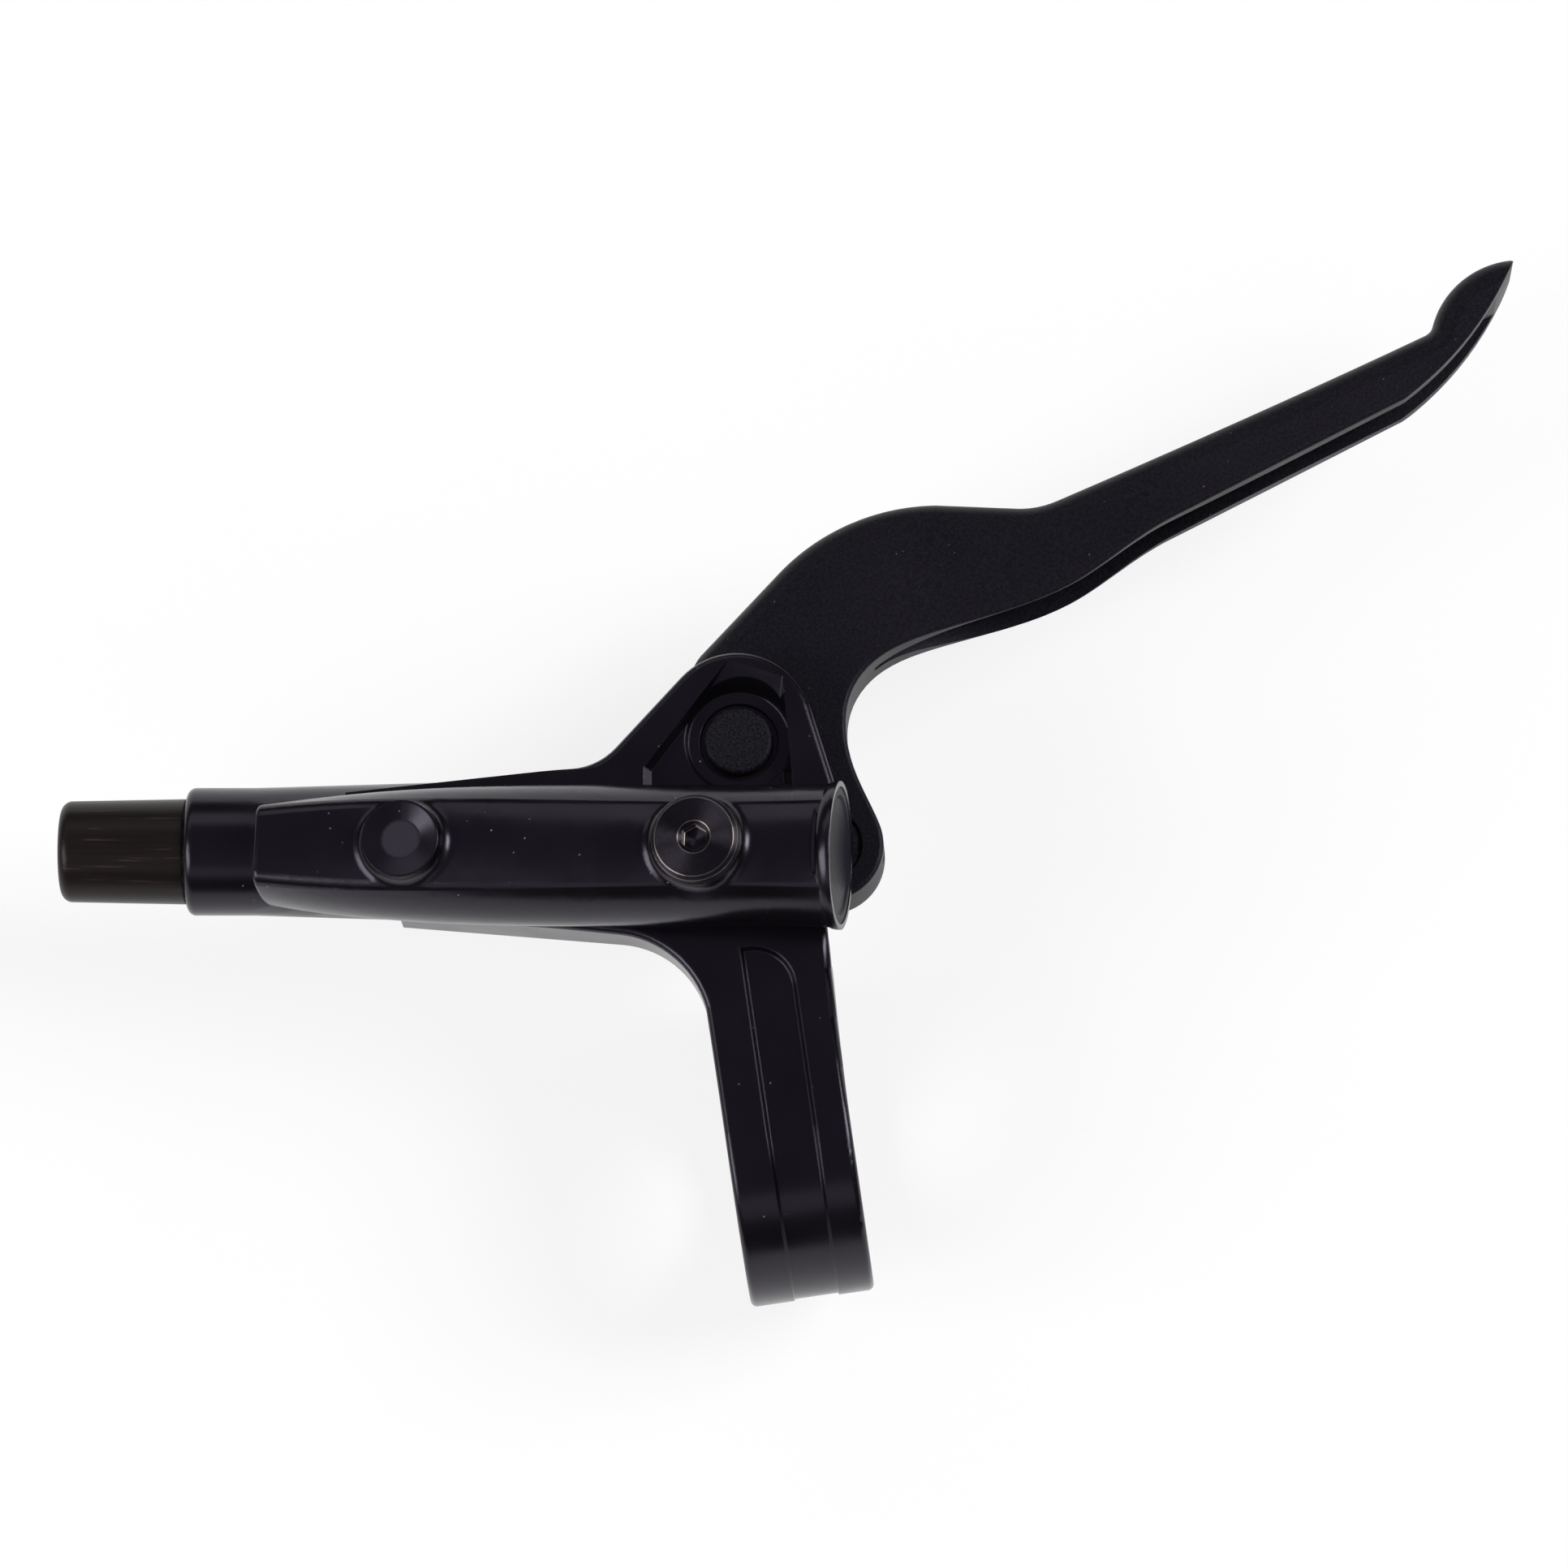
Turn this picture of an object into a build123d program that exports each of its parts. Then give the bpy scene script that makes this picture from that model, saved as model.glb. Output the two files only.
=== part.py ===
"""Right-hand hydraulic brake lever for a flat bar, without its hose.

The row frame has its origin at the centre of the clamped bar, +X along the bar towards its outer
end, +Y forwards and +Z up. Everything but the clamp is drawn in the lever frame: its origin is on
the pivot axis at the middle of the blade's thickness, x runs along the master cylinder towards the
outer end, y forwards and z up.
"""
from build123d import *
from math import acos, atan2, cos, degrees, hypot, radians, sin, sqrt
import os

# Handlebar clamp
bar_diameter = 22.2
clamp_bar_room = 0.05
clamp_width = 13.3
clamp_wall = 4.75
clamp_edge_round = 0.7
clamp_split = 4.0
lug_thickness = 7.0
lug_wall = 4.2
lug_corner_round = 2.0
spot_face_room = 0.3
arm_outer_flare = 1.3
arm_inner_flare = 0.4
panel_x = 0.4
panel_width = 5.4
panel_depth = 0.6
panel_slope = 0.4
panel_fade = 0.4
panel_corner_round = 4.6
panel_end_gap = 3.8
clamp_bolt_diameter = 5.0
clamp_bolt_head_diameter = 8.5
clamp_bolt_head_height = 5.0
clamp_bolt_key = 4.0
clamp_bolt_key_depth = 2.6
clamp_bolt_grip = 9.0
clamp_washer_thickness = 1.0
clamp_washer_diameter = 9.6
clamp_washer_room = 0.2
clamp_bolt_end_room = 0.6

# Place of the lever on the bar
pivot_x = 0.75
pivot_y = 42.0
blade_level = 8.0
lever_turn = 8.5

# Pivot
pin_diameter = 5.0
pin_head_diameter = 7.3
pin_head_height = 1.7
pin_head_round = 0.5
pin_groove_depth = 0.6
pin_tail = 1.2
bush_wall = 1.0
bush_flange = 0.6
bush_flange_diameter = 10.0
bush_length = 3.4
bush_stand = 0.15
bush_room = 0.02
hub_radius = 6.5
slot_room = 0.6
side_room = 0.25
running_room = 0.03
clip_thickness = 0.8
clip_diameter = 8.6
clip_mouth = 3.6
ear_nose_radius = 8.1
ear_nose_x = -0.15
ear_nose_y = 1.2
ear_edge_round = 0.8
ear_flank_x = -14.9
ear_flank_y = -3.1
ear_flank_round = 7.0
ear_root_x = -42.0
ear_taper_x = -15.0
ear_root_half = 5.5
ear_lift = 1.0
ear_right_x = 10.4
pocket_depth = 2.0
pocket_left = -9.95
pocket_left_turn = -3.3
pocket_right = 4.7
pocket_right_lean = 1.2
pocket_right_slope = 0.9
pocket_left_slope = 0.6
pocket_front_floor = 2.9
pocket_top_x = -1.1
pocket_top = 8.5
pocket_shoulder = 6.65
pocket_rear = -6.0
pin_seat_diameter = 10.8
pin_seat_depth = 0.6
pin_seat_draft = 0.6
pin_well_diameter = 8.35
pin_well_depth = 1.2

# Master cylinder
push_arm = 10.6
bore_diameter = 9.0
barrel_radius = 8.0
barrel_mouth_x = -6.0
barrel_taper_x = -14.0
hose_boss_radius = 6.85
hose_boss_end_x = -52.0
hose_face_x = -59.2
hose_boss_round = 0.9
bore_bottom_x = -38.0
passage_diameter = 2.4
mouth_seal_thickness = 1.2
mouth_seal_diameter = 11.6
mouth_hole_diameter = 6.6
circlip_thickness = 1.0
circlip_depth = 0.7
circlip_wall = 1.5
circlip_gap = 3.5
boot_lip = 0.5
boot_lip_length = 1.2
stop_washer_thickness = 1.0
stack_room = 0.05
piston_length = 12.0
piston_waist_diameter = 7.2
piston_room = 0.04
piston_spigot_diameter = 4.6
piston_spigot_length = 2.0
cup_groove_diameter = 6.0
cup_width = 1.9
cup_room = 0.03
cup_end_wall = 1.3
cup_lip = 0.35
spring_wire = 0.8
spring_turns = 6.0
spring_end_room = 0.15
port_diameter = 1.6

# Push rod
ball_radius = 1.6
ball_room = 0.3
ball_seat_depth = 2.0
rod_diameter = 3.0
rod_neck_diameter = 2.4
rod_neck_length = 2.6
rod_key = 1.5
rod_key_depth = 1.5
rod_barrel_radius = 3.8
rod_barrel_room = 0.03
rod_barrel_sink = 0.4
rod_swing = 15.0
rod_key_hole_diameter = 2.4
rod_end_sink = 0.8
rod_swing_room = 0.35

# Blade
blade_thickness = 8.0
grip_thickness = 10.2
grip_flare_start_x = 13.0
grip_flare_end_x = 46.0
blade_front_round = 2.6
blade_rear_round = 0.4
lobe_x = 9.3
lobe_radius = 6.1
root_front_offset = 10.35
root_front_start = 5.0
root_kink = 12.0
root_front_angle = 47.6
shoulder_radius = 23.0
shoulder_x = 20.9
saddle_x = 31.7
saddle_drop = 0.55
saddle_round = 9.0
grip_front_angle = 24.6
grip_front_length = 46.7
grip_hollow = 0.3
hook_rise = 2.1
hook_rear_rise = 1.4
grip_start_along = 12.4
grip_start_depth = 7.45
grip_end_along = 6.0
grip_end_depth = 5.95
saddle_depth = 9.5
neck_depth = 14.45
neck_turn_x = 14.0
neck_turn_y = 9.2
throat_x = 11.3
throat_y = 3.0
lobe_flank_angle = 22.0
hook_notch_round = 1.6
tip_blunt = 0.6
tip_x = 9.04
tip_y = 8.13
channel_flange = 1.6
channel_entry_gap = 0.4
channel_entry_half = 0.5
channel_neck_half = 2.5
channel_neck_depth = 4.5
channel_saddle_wall = 4.8
channel_front_wall = 2.6
channel_tip_wall = 1.6
channel_end_run = 4.0

# Reservoir tube
tube_end_x = 11.1
tube_end_y = -13.7
tube_end_level = 12.8
tube_length = 62.1
tube_rise = 7.7
tube_skew = 1.6
tube_radius = 7.6
tube_flat_height = 6.1
tube_nose_half_width = 5.1
tube_nose_flat = 4.0
tube_swell_back = 47.3
tube_swell_flat = 4.6
tube_swell_half_width = 6.9
tube_full_back = 30.3
tube_belly = 0.1
tube_crease_round = 1.6
tube_crown = 0.8
tube_swell_crown = 0.5
tube_nose_crown = 0.2
tube_edge_round = 0.5
lip_radius = 7.85
lip_edge = 0.4
lip_length = 2.0
lip_root_radius = 6.5
lip_hollow = 0.35
web_start_x = -46.0
web_start_low_half = 6.4
web_start_high_half = 5.0
web_end_low_half = 7.6
web_end_high_half = 6.9
cap_diameter = 14.4
cap_room = 0.05
cap_flange = 2.0
cap_sink = 0.1
cap_disc_diameter = 12.8
cap_disc_sink = 0.35
cap_plug_length = 3.0
cap_plug_wall = 1.2
chamber_radius = 6.0
chamber_length = 11.6
gallery_radius = 4.2
gallery_lift = 0.9
gallery_length = 32.0
bladder_wall = 0.8
bladder_room = 0.4
bladder_flange = 1.0
blank_boss_radius = 4.15
blank_boss_rise = 2.6
blank_boss_back = 45.7
blank_dish_radius = 3.95
blank_dish_floor_radius = 2.1
blank_dish_depth = 0.45
bleed_boss_radius = 4.75
bleed_boss_rise = 1.7
bleed_boss_back = 14.1
boss_round = 1.4

# Bleed screw
bleed_head_diameter = 9.3
bleed_head_height = 1.6
bleed_head_chamfer = 0.42
bleed_shank_diameter = 5.0
bleed_shank_length = 5.5
bleed_key = 2.5
bleed_key_depth = 1.3
bleed_key_rim = 3.5
bleed_ring_wire = 1.2
bleed_ring_diameter = 6.6
thread_room = 0.02

# Hose end
hose_diameter = 5.0
hose_room = 0.1
nut_thread_diameter = 8.0
nut_thread_length = 6.4
nut_hexagon = 8.0
nut_hexagon_length = 6.0
olive_length = 2.4
olive_thickness = 1.1
hose_socket_length = 3.0
cover_face_gap = 0.2
cover_length = 13.4
cover_radius = 5.65
cover_end_radius = 5.4
cover_end_round = 1.2
cover_nut_room = 0.03

# Web between the clamp arm and the barrel
gusset_start_x = -36.3
gusset_start_y = -18.0
gusset_start_level = 0.5
gusset_fall_gap = 1.4
gusset_angle = 15.8
gusset_round = 11.0

# How near an edge lies to a plane to count as on it
on_plane = 0.01

# Sizes that follow from the driving ones
bar_bore = bar_diameter / 2 + clamp_bar_room
clamp_radius = bar_bore + clamp_wall
blade_half = blade_thickness / 2
grip_half = grip_thickness / 2
slot_half = blade_half + side_room
ear_top = barrel_radius + ear_lift
slot_radius = hub_radius + slot_room
bore_radius = bore_diameter / 2
lobe_y = -push_arm
lug_bolt_y = bar_bore + clamp_bolt_diameter / 2 + lug_wall / 2
lug_front = lug_bolt_y + clamp_bolt_diameter / 2 + lug_wall / 2
lug_bottom = -(clamp_split / 2 + lug_thickness)
lever_in_row = Location((pivot_x, pivot_y, blade_level), (0, 0, -lever_turn))
row_in_lever = lever_in_row.inverse()
tube_axis = Vector(
    cos(radians(tube_rise)) * cos(radians(tube_skew)),
    -cos(radians(tube_rise)) * sin(radians(tube_skew)),
    sin(radians(tube_rise)),
)
tube_end = Vector(tube_end_x, tube_end_y, tube_end_level)
tube_plane = Plane(
    origin=tube_end,
    x_dir=(sin(radians(tube_skew)), cos(radians(tube_skew)), 0),
    z_dir=tube_axis,
)
mouth_seal_x = barrel_mouth_x - mouth_seal_thickness - stack_room
circlip_x = mouth_seal_x - stack_room
stop_washer_x = circlip_x - circlip_thickness - stack_room
piston_face_x = stop_washer_x - stop_washer_thickness - stack_room
piston_end_x = piston_face_x - piston_length
ball_x = piston_face_x - ball_seat_depth
nut_end_x = hose_face_x + nut_thread_length
olive_end_x = nut_end_x + stack_room + olive_length
hose_bore = hose_diameter / 2 + hose_room
pocket_floor = ear_top - pocket_depth
pin_head_seat = pocket_floor - pin_well_depth


def turned(points):
    """A piece turned about the x axis, from (x, radius) points."""
    return revolve(make_face(Polyline(*points, close=True)), Axis.X)


def turned_up(points):
    """A piece turned about the z axis, from (radius, z) points."""
    return revolve(Plane.XZ * make_face(Polyline(*points, close=True)), Axis.Z)


def on_bore(shape):
    """Moves a piece turned about the x axis on to the master cylinder's axis."""
    return Pos(0, -push_arm, 0) * shape


def bore_rod(x_start, x_end, radius):
    """A plain cylinder on the master cylinder's axis."""
    return on_bore(turned([(x_start, 0), (x_start, radius), (x_end, radius), (x_end, 0)]))


def bore_ring(x_start, x_end, inner, outer):
    """A plain ring on the master cylinder's axis."""
    return on_bore(turned([(x_start, inner), (x_start, outer), (x_end, outer), (x_end, inner)]))


def post(radius, bottom, top):
    """An upright cylinder on the pivot axis."""
    return Pos(0, 0, bottom) * Cylinder(radius, top - bottom, align=(Align.CENTER, Align.CENTER, Align.MIN))


def hexagon(across_flats):
    """A hexagon given by its key size."""
    return RegularPolygon(across_flats / 2, 6, major_radius=False)


def slab(outline, bottom, top):
    """An upright prism over a plan outline."""
    return Pos(0, 0, bottom) * extrude(outline, top - bottom)


def polar(radius, angle):
    """A plan vector from its length and its angle in degrees."""
    return Vector(radius * cos(radians(angle)), radius * sin(radians(angle)))


# The forged body


def barrel_form():
    """Master cylinder and hose boss, turned in one."""
    boss = turned([
        (hose_face_x, 0),
        (hose_face_x, hose_boss_radius),
        (hose_boss_end_x, hose_boss_radius),
        (hose_boss_end_x, 0),
    ])
    boss = fillet(boss.edges().sort_by(Axis.X)[0], hose_boss_round)
    barrel = turned([
        (hose_boss_end_x, 0),
        (hose_boss_end_x, hose_boss_radius),
        (barrel_taper_x, barrel_radius),
        (barrel_mouth_x, barrel_radius),
        (barrel_mouth_x, 0),
    ])
    return on_bore(boss + barrel)


def tube_section(flat, half_width, crown):
    """Section with a crowned top and bulging sides, in the tube's own plane."""
    top = tube_flat_height
    return make_face([
        ThreePointArc((-flat, top), (0, top + crown), (flat, top)),
        ThreePointArc((flat, top), (half_width, 0), (flat, -top)),
        Line((flat, -top), (-flat, -top)),
        ThreePointArc((-flat, -top), (-half_width, 0), (-flat, top)),
    ])


def tube_form():
    """Reservoir tube with a crowned top, narrower towards the hose end, with its two bosses and its lip."""
    full_flat = sqrt(tube_radius**2 - tube_flat_height**2)
    nose = tube_section(tube_nose_flat, tube_nose_half_width, tube_nose_crown)
    swell = tube_section(tube_swell_flat, tube_swell_half_width, tube_swell_crown)
    full = tube_section(full_flat, tube_radius - tube_belly, tube_crown)
    end = tube_section(full_flat, tube_radius, tube_crown)
    tube = loft([
        tube_plane.offset(-tube_length) * nose,
        tube_plane.offset(-tube_swell_back) * swell,
        tube_plane.offset(-tube_full_back) * full,
        tube_plane * end,
    ])
    tube = fillet(tube.edges().sort_by(SortBy.LENGTH)[-4:], tube_crease_round)
    nose_back = (tube_length + tube_swell_back) / 2
    rim = tube.edges().filter_by(lambda e: tube_plane.to_local_coords(e.center()).Z < -nose_back)
    tube = fillet(rim, tube_edge_round)
    tube = tube + boss_at(blank_boss_back, blank_boss_radius, blank_boss_rise)
    tube = tube + boss_at(bleed_boss_back, bleed_boss_radius, bleed_boss_rise)
    tube = fillet(boss_root(tube, blank_boss_back, blank_boss_radius), boss_round)
    tube = fillet(boss_root(tube, bleed_boss_back, bleed_boss_radius), boss_round)
    lip = make_face([
        Line((0, 0), (lip_radius, 0)),
        Line((lip_radius, 0), (lip_radius, -lip_edge)),
        bowed(Vector(lip_radius, -lip_edge), Vector(lip_root_radius, -lip_length), lip_hollow),
        Line((lip_root_radius, -lip_length), (0, -lip_length)),
        Line((0, -lip_length), (0, 0)),
    ])
    return tube + tube_plane * revolve(Plane.XZ * lip, Axis.Z)


def boss_root(tube, back, radius):
    """The edges where a boss meets the tube."""
    def on_root(edge):
        for step in (0.1, 0.5, 0.9):
            spot = tube_plane.to_local_coords(edge @ step)
            off_wall = abs(hypot(spot.X, spot.Z + back) - radius) > boss_round / 10
            if off_wall or spot.Y > tube_flat_height + tube_crown + boss_round / 2 or spot.Y < 0:
                return False
        return True

    return tube.edges().filter_by(on_root)


def bleed_place():
    """Frame of the bleed boss: on the tube's axis, z out through the boss."""
    return tube_plane.location * Pos(0, 0, -bleed_boss_back) * Rot(-90, 0, 0)


def boss_at(back, radius, rise):
    """A round boss that stands on the tube's flat top."""
    height = tube_flat_height + rise
    boss = Cylinder(radius, height, align=(Align.CENTER, Align.CENTER, Align.MIN))
    return tube_plane * Pos(0, 0, -back) * Rot(-90, 0, 0) * boss


def web_form():
    """Web that joins the barrel and the tube above it, nearly flush with both."""
    faces = []
    for x, low_half, high_half in (
        (web_start_x, web_start_low_half, web_start_high_half),
        (barrel_mouth_x, web_end_low_half, web_end_high_half),
    ):
        along = (x - tube_end.X) / tube_axis.X
        above = tube_end + tube_axis * along
        faces.append(make_face(Polyline(
            (x, -push_arm - low_half, 0),
            (x, -push_arm + low_half, 0),
            (x, above.Y + high_half, above.Z),
            (x, above.Y - high_half, above.Z),
            close=True,
        )))
    return loft(faces, ruled=True)


def touch_angle(centre, radius, point, side):
    """Angle on a circle where a line from a point outside it touches, side +1 or -1."""
    reach = point - centre
    return degrees(atan2(reach.Y, reach.X) + side * acos(radius / reach.length))


def ear_outline():
    """Plan of the two pivot ears and their root along the barrel."""
    nose = Vector(ear_nose_x, ear_nose_y)
    corner = Vector(ear_flank_x, ear_flank_y)
    heel = Vector(ear_right_x, -push_arm / 2)
    left_angle = touch_angle(nose, ear_nose_radius, corner, -1) + 360
    right_angle = touch_angle(nose, ear_nose_radius, heel, 1)
    left = nose + polar(ear_nose_radius, left_angle)
    top = nose + polar(ear_nose_radius, (left_angle + right_angle) / 2)
    right = nose + polar(ear_nose_radius, right_angle)
    rear_y = -push_arm
    outline = make_face([
        Line(corner, left),
        ThreePointArc(left, top, right),
        Line(right, heel),
        Line(heel, (ear_right_x, rear_y)),
        Line((ear_right_x, rear_y), (ear_root_x, rear_y)),
        Line((ear_root_x, rear_y), (ear_root_x, -push_arm / 2)),
        Line((ear_root_x, -push_arm / 2), corner),
    ])
    inner = outline.vertices().sort_by_distance(corner)[0]
    return fillet(inner, ear_flank_round)


def ear_form():
    """Both ears in one block with the upper one's pocket, before the blade's slot is cut."""
    block = slab(ear_outline(), -ear_top, ear_top)
    rims = block.edges().filter_by(lambda e: abs(abs(e.center().Z) - ear_top) < on_plane)
    shown = rims.filter_by(lambda e: e.center().Y > -push_arm / 2)
    block = fillet(shown, ear_edge_round)
    fall = make_face(Polyline(
        (ear_taper_x, ear_top),
        (ear_taper_x, ear_top * 2),
        (ear_root_x, ear_top * 2),
        (ear_root_x, ear_root_half),
        close=True,
    ))
    fall = extrude(Plane.XZ * fall, ear_top * 4, both=True)
    return block - fall - mirror(fall, Plane.XY) - pocket_cut()


def blade_slot():
    """Room between the ears for the blade's hub, and behind them for the swing of its lobe."""
    lobe_reach = hypot(lobe_x, lobe_y) + lobe_radius + slot_room
    hub = Circle(slot_radius)
    tip = blade_marks()["tip"]
    front = make_face(Polyline(
        (-slot_radius, 0),
        (ear_flank_x, root_front_offset * 2),
        (tip.X, tip.Y),
        (lobe_reach * 2, -slot_radius),
        (0, -slot_radius),
        close=True,
    ))
    swing = Circle(lobe_reach) & Pos(barrel_mouth_x, 0) * Rectangle(
        lobe_reach * 2, lobe_reach * 2, align=(Align.MIN, Align.MAX)
    )
    return slab(hub + front + swing, -slot_half, slot_half)


def clamp_form():
    """Clamp arm and split band, drawn from the side in the row frame, with the arm's sunk panel."""
    arm_end = pivot_y - push_arm
    edge = clamp_width / 2
    band = Circle(clamp_radius)
    arm = Pos(0, clamp_radius) * Rectangle(arm_end, clamp_wall, align=(Align.MIN, Align.MAX))
    upper = Rectangle(lug_front, clamp_radius, align=(Align.MIN, Align.MIN))
    lower = Pos(0, lug_bottom) * Rectangle(lug_front, -lug_bottom, align=(Align.MIN, Align.MIN))
    lower = fillet(lower.vertices().sort_by(Axis.X)[-2:].sort_by(Axis.Y)[0], lug_corner_round)
    split = Rectangle(lug_front * 2, clamp_split, align=(Align.MIN, Align.CENTER))
    profile = band + arm + upper + lower - split - Circle(bar_bore)
    plan = make_face([
        Line((edge, -clamp_radius * 2), (edge, 0)),
        TangentArc((edge, 0), (edge + arm_outer_flare, arm_end), tangent=(0, 1)),
        Line((edge + arm_outer_flare, arm_end), (-edge - arm_inner_flare, arm_end)),
        TangentArc((-edge, 0), (-edge - arm_inner_flare, arm_end), tangent=(0, 1)),
        Line((-edge, 0), (-edge, -clamp_radius * 2)),
        Line((-edge, -clamp_radius * 2), (edge, -clamp_radius * 2)),
    ])
    solid = extrude(Plane.YZ * profile, clamp_width, both=True)
    solid = solid & slab(plan, -clamp_radius * 2, clamp_radius * 2)
    outer = solid.edges().filter_by(
        lambda e: abs(e.center().X) > edge - on_plane
        and hypot(e.center().Y, e.center().Z) > bar_bore + clamp_wall / 2
        and (e.center().Y < lug_bolt_y or e.center().Z > clamp_radius - on_plane)
    )
    return fillet(outer, clamp_edge_round) - panel_cut()


def panel_cut():
    """Shallow panel sunk along the arm's top, that fades out round the back of the band."""
    half = panel_width / 2
    floor_half = half - panel_slope
    floor_radius = clamp_radius - panel_depth
    arm_front = pivot_y - push_arm - barrel_radius - panel_end_gap
    plan = Pos(0, arm_front - panel_slope) * Rectangle(
        floor_half * 2, arm_front, align=(Align.CENTER, Align.MAX)
    )
    corner = plan.vertices().sort_by(Axis.Y)[-2:].sort_by(Axis.X)[-1]
    plan = fillet(corner, panel_corner_round - panel_slope)
    slope = degrees(atan2(panel_slope, panel_depth))
    along_arm = extrude(Pos(0, 0, floor_radius) * plan, panel_depth * 2, taper=-slope)
    section = make_face(Polyline(
        (-floor_half, floor_radius),
        (floor_half, floor_radius),
        (half + panel_slope, clamp_radius + panel_depth),
        (-half - panel_slope, clamp_radius + panel_depth),
        close=True,
    ))
    axis = Axis((0, -panel_fade, 0), (1, 0, 0))
    round_band = revolve(Plane.XZ * Pos(0, 0, panel_fade) * section, axis, 150)
    return Pos(panel_x, 0, 0) * (along_arm + round_band)


def gusset_form():
    """Web that rises and sweeps from the barrel's rear into the arm, drawn in the row frame."""
    arm_edge = -clamp_width / 2
    start = lever_in_row * Pos(gusset_start_x, gusset_start_y, 0)
    start = Vector(start.position.X, start.position.Y)
    run = (arm_edge - start.X) / cos(radians(gusset_angle))
    corner = start + polar(run, -gusset_angle)
    inner = lever_in_row * Pos(gusset_start_x, tube_end_y, 0)
    outline = make_face(Polyline(
        (start.X, start.Y),
        (corner.X, corner.Y),
        (arm_edge, 0),
        (arm_edge + clamp_edge_round * 2, 0),
        (arm_edge + clamp_edge_round * 2, pivot_y - push_arm),
        (inner.position.X, inner.position.Y),
        close=True,
    ))
    plan = fillet(outline.vertices().sort_by_distance(corner)[0], gusset_round)
    end_top = blade_level + gusset_start_level
    end_low = end_top - clamp_wall
    arm_low = clamp_radius - clamp_wall
    fall_x = arm_edge - gusset_fall_gap
    side = make_face([
        Line((0, clamp_radius), (fall_x, clamp_radius)),
        TangentArc((fall_x, clamp_radius), (start.X, end_top), tangent=(-1, 0)),
        Line((start.X, end_top), (start.X, end_low)),
        Line((start.X, end_low), (fall_x, arm_low)),
        Line((fall_x, arm_low), (0, arm_low)),
        Line((0, arm_low), (0, clamp_radius)),
    ])
    plate = slab(plan, end_low, clamp_radius) & extrude(Plane.XZ * side, pivot_y * 2, both=True)
    turn = plan.edges().filter_by(GeomType.CIRCLE)[0] @ 0.5
    rim = plate.edges().sort_by_distance(Vector(turn.X, turn.Y, clamp_radius))[0]
    return fillet(rim, clamp_edge_round)


def pocket_cut():
    """Pocket with a long slope in front, short ones at its sides, and the drafted seat of the pin's head."""
    rear_right = pocket_right + pocket_right_lean
    rim = [
        (pocket_left, pocket_rear),
        (rear_right, pocket_rear),
        (pocket_right, pocket_shoulder),
        (pocket_top_x, pocket_top),
        (pocket_left, pocket_left_turn),
    ]
    left_share = (pocket_front_floor - pocket_left_turn) / (pocket_top - pocket_left_turn)
    right_share = (pocket_front_floor - pocket_rear) / (pocket_shoulder - pocket_rear)
    floor_left = pocket_left + (pocket_top_x - pocket_left) * left_share + pocket_left_slope
    floor_right = rear_right - pocket_right_lean * right_share - pocket_right_slope
    floor = [
        (pocket_left + pocket_left_slope, pocket_rear),
        (rear_right - pocket_right_slope, pocket_rear),
        (floor_right, pocket_front_floor),
        (floor_left, pocket_front_floor),
        (pocket_left + pocket_left_slope, pocket_left_turn),
    ]
    rim_face = make_face(Polyline(*rim, close=True))
    floor_face = make_face(Polyline(*floor, close=True))
    pocket = loft([Pos(0, 0, pocket_floor) * floor_face, Pos(0, 0, ear_top) * rim_face], ruled=True)
    low = pocket_floor - pin_seat_depth
    seat = turned_up([
        (0, low),
        (pin_seat_diameter / 2, low),
        (pin_seat_diameter / 2 + (ear_top - low) * pin_seat_draft, ear_top),
        (0, ear_top),
    ])
    seat = seat & slab(rim_face, low, ear_top)
    return pocket + seat + post(pin_well_diameter / 2, pin_head_seat, ear_top)


def cylinder_cut():
    """Master cylinder bore with its mouth, circlip groove, outlet passage and hose port."""
    bore = bore_rod(bore_bottom_x, barrel_mouth_x, bore_radius)
    mouth = bore_rod(mouth_seal_x, barrel_mouth_x, mouth_seal_diameter / 2)
    groove = bore_rod(circlip_x - circlip_thickness, circlip_x, bore_radius + circlip_depth)
    passage = bore_rod(hose_face_x, bore_bottom_x, passage_diameter / 2)
    seat_end = olive_end_x + olive_thickness
    port = on_bore(turned([
        (hose_face_x, 0),
        (hose_face_x, nut_thread_diameter / 2 + thread_room),
        (olive_end_x, nut_thread_diameter / 2 + thread_room),
        (seat_end, hose_bore),
        (seat_end + hose_socket_length, hose_bore),
        (seat_end + hose_socket_length, 0),
    ]))
    return bore + mouth + groove + passage + port


def reservoir_cut():
    """Cap seat, bladder chamber, gallery, bleed hole and the two ports down to the bore."""
    seat = Pos(0, 0, -cap_flange) * Cylinder(
        cap_diameter / 2 + cap_room, lip_radius, align=(Align.CENTER, Align.CENTER, Align.MIN)
    )
    chamber = Cylinder(chamber_radius, chamber_length, align=(Align.CENTER, Align.CENTER, Align.MAX))
    gallery = Pos(0, gallery_lift, 0) * Cylinder(
        gallery_radius, gallery_length, align=(Align.CENTER, Align.CENTER, Align.MAX)
    )
    bleed = Pos(0, 0, -bleed_boss_back) * Rot(-90, 0, 0) * Cylinder(
        bleed_shank_diameter / 2 + thread_room,
        tube_flat_height * 2,
        align=(Align.CENTER, Align.CENTER, Align.MIN),
    )
    ring_seat = bleed_place() * Pos(0, 0, tube_flat_height + bleed_boss_rise) * Cylinder(
        (bleed_ring_diameter + bleed_ring_wire) / 2,
        bleed_ring_wire,
        align=(Align.CENTER, Align.CENTER, Align.MAX),
    )
    cut = tube_plane * (seat + chamber + gallery + bleed) + ring_seat
    for x in ((piston_face_x + piston_end_x) / 2, piston_end_x - port_diameter):
        port = Cylinder(port_diameter / 2, tube_end_level, align=(Align.CENTER, Align.CENTER, Align.MIN))
        cut = cut + Pos(x, -push_arm, 0) * port
    return cut


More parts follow.
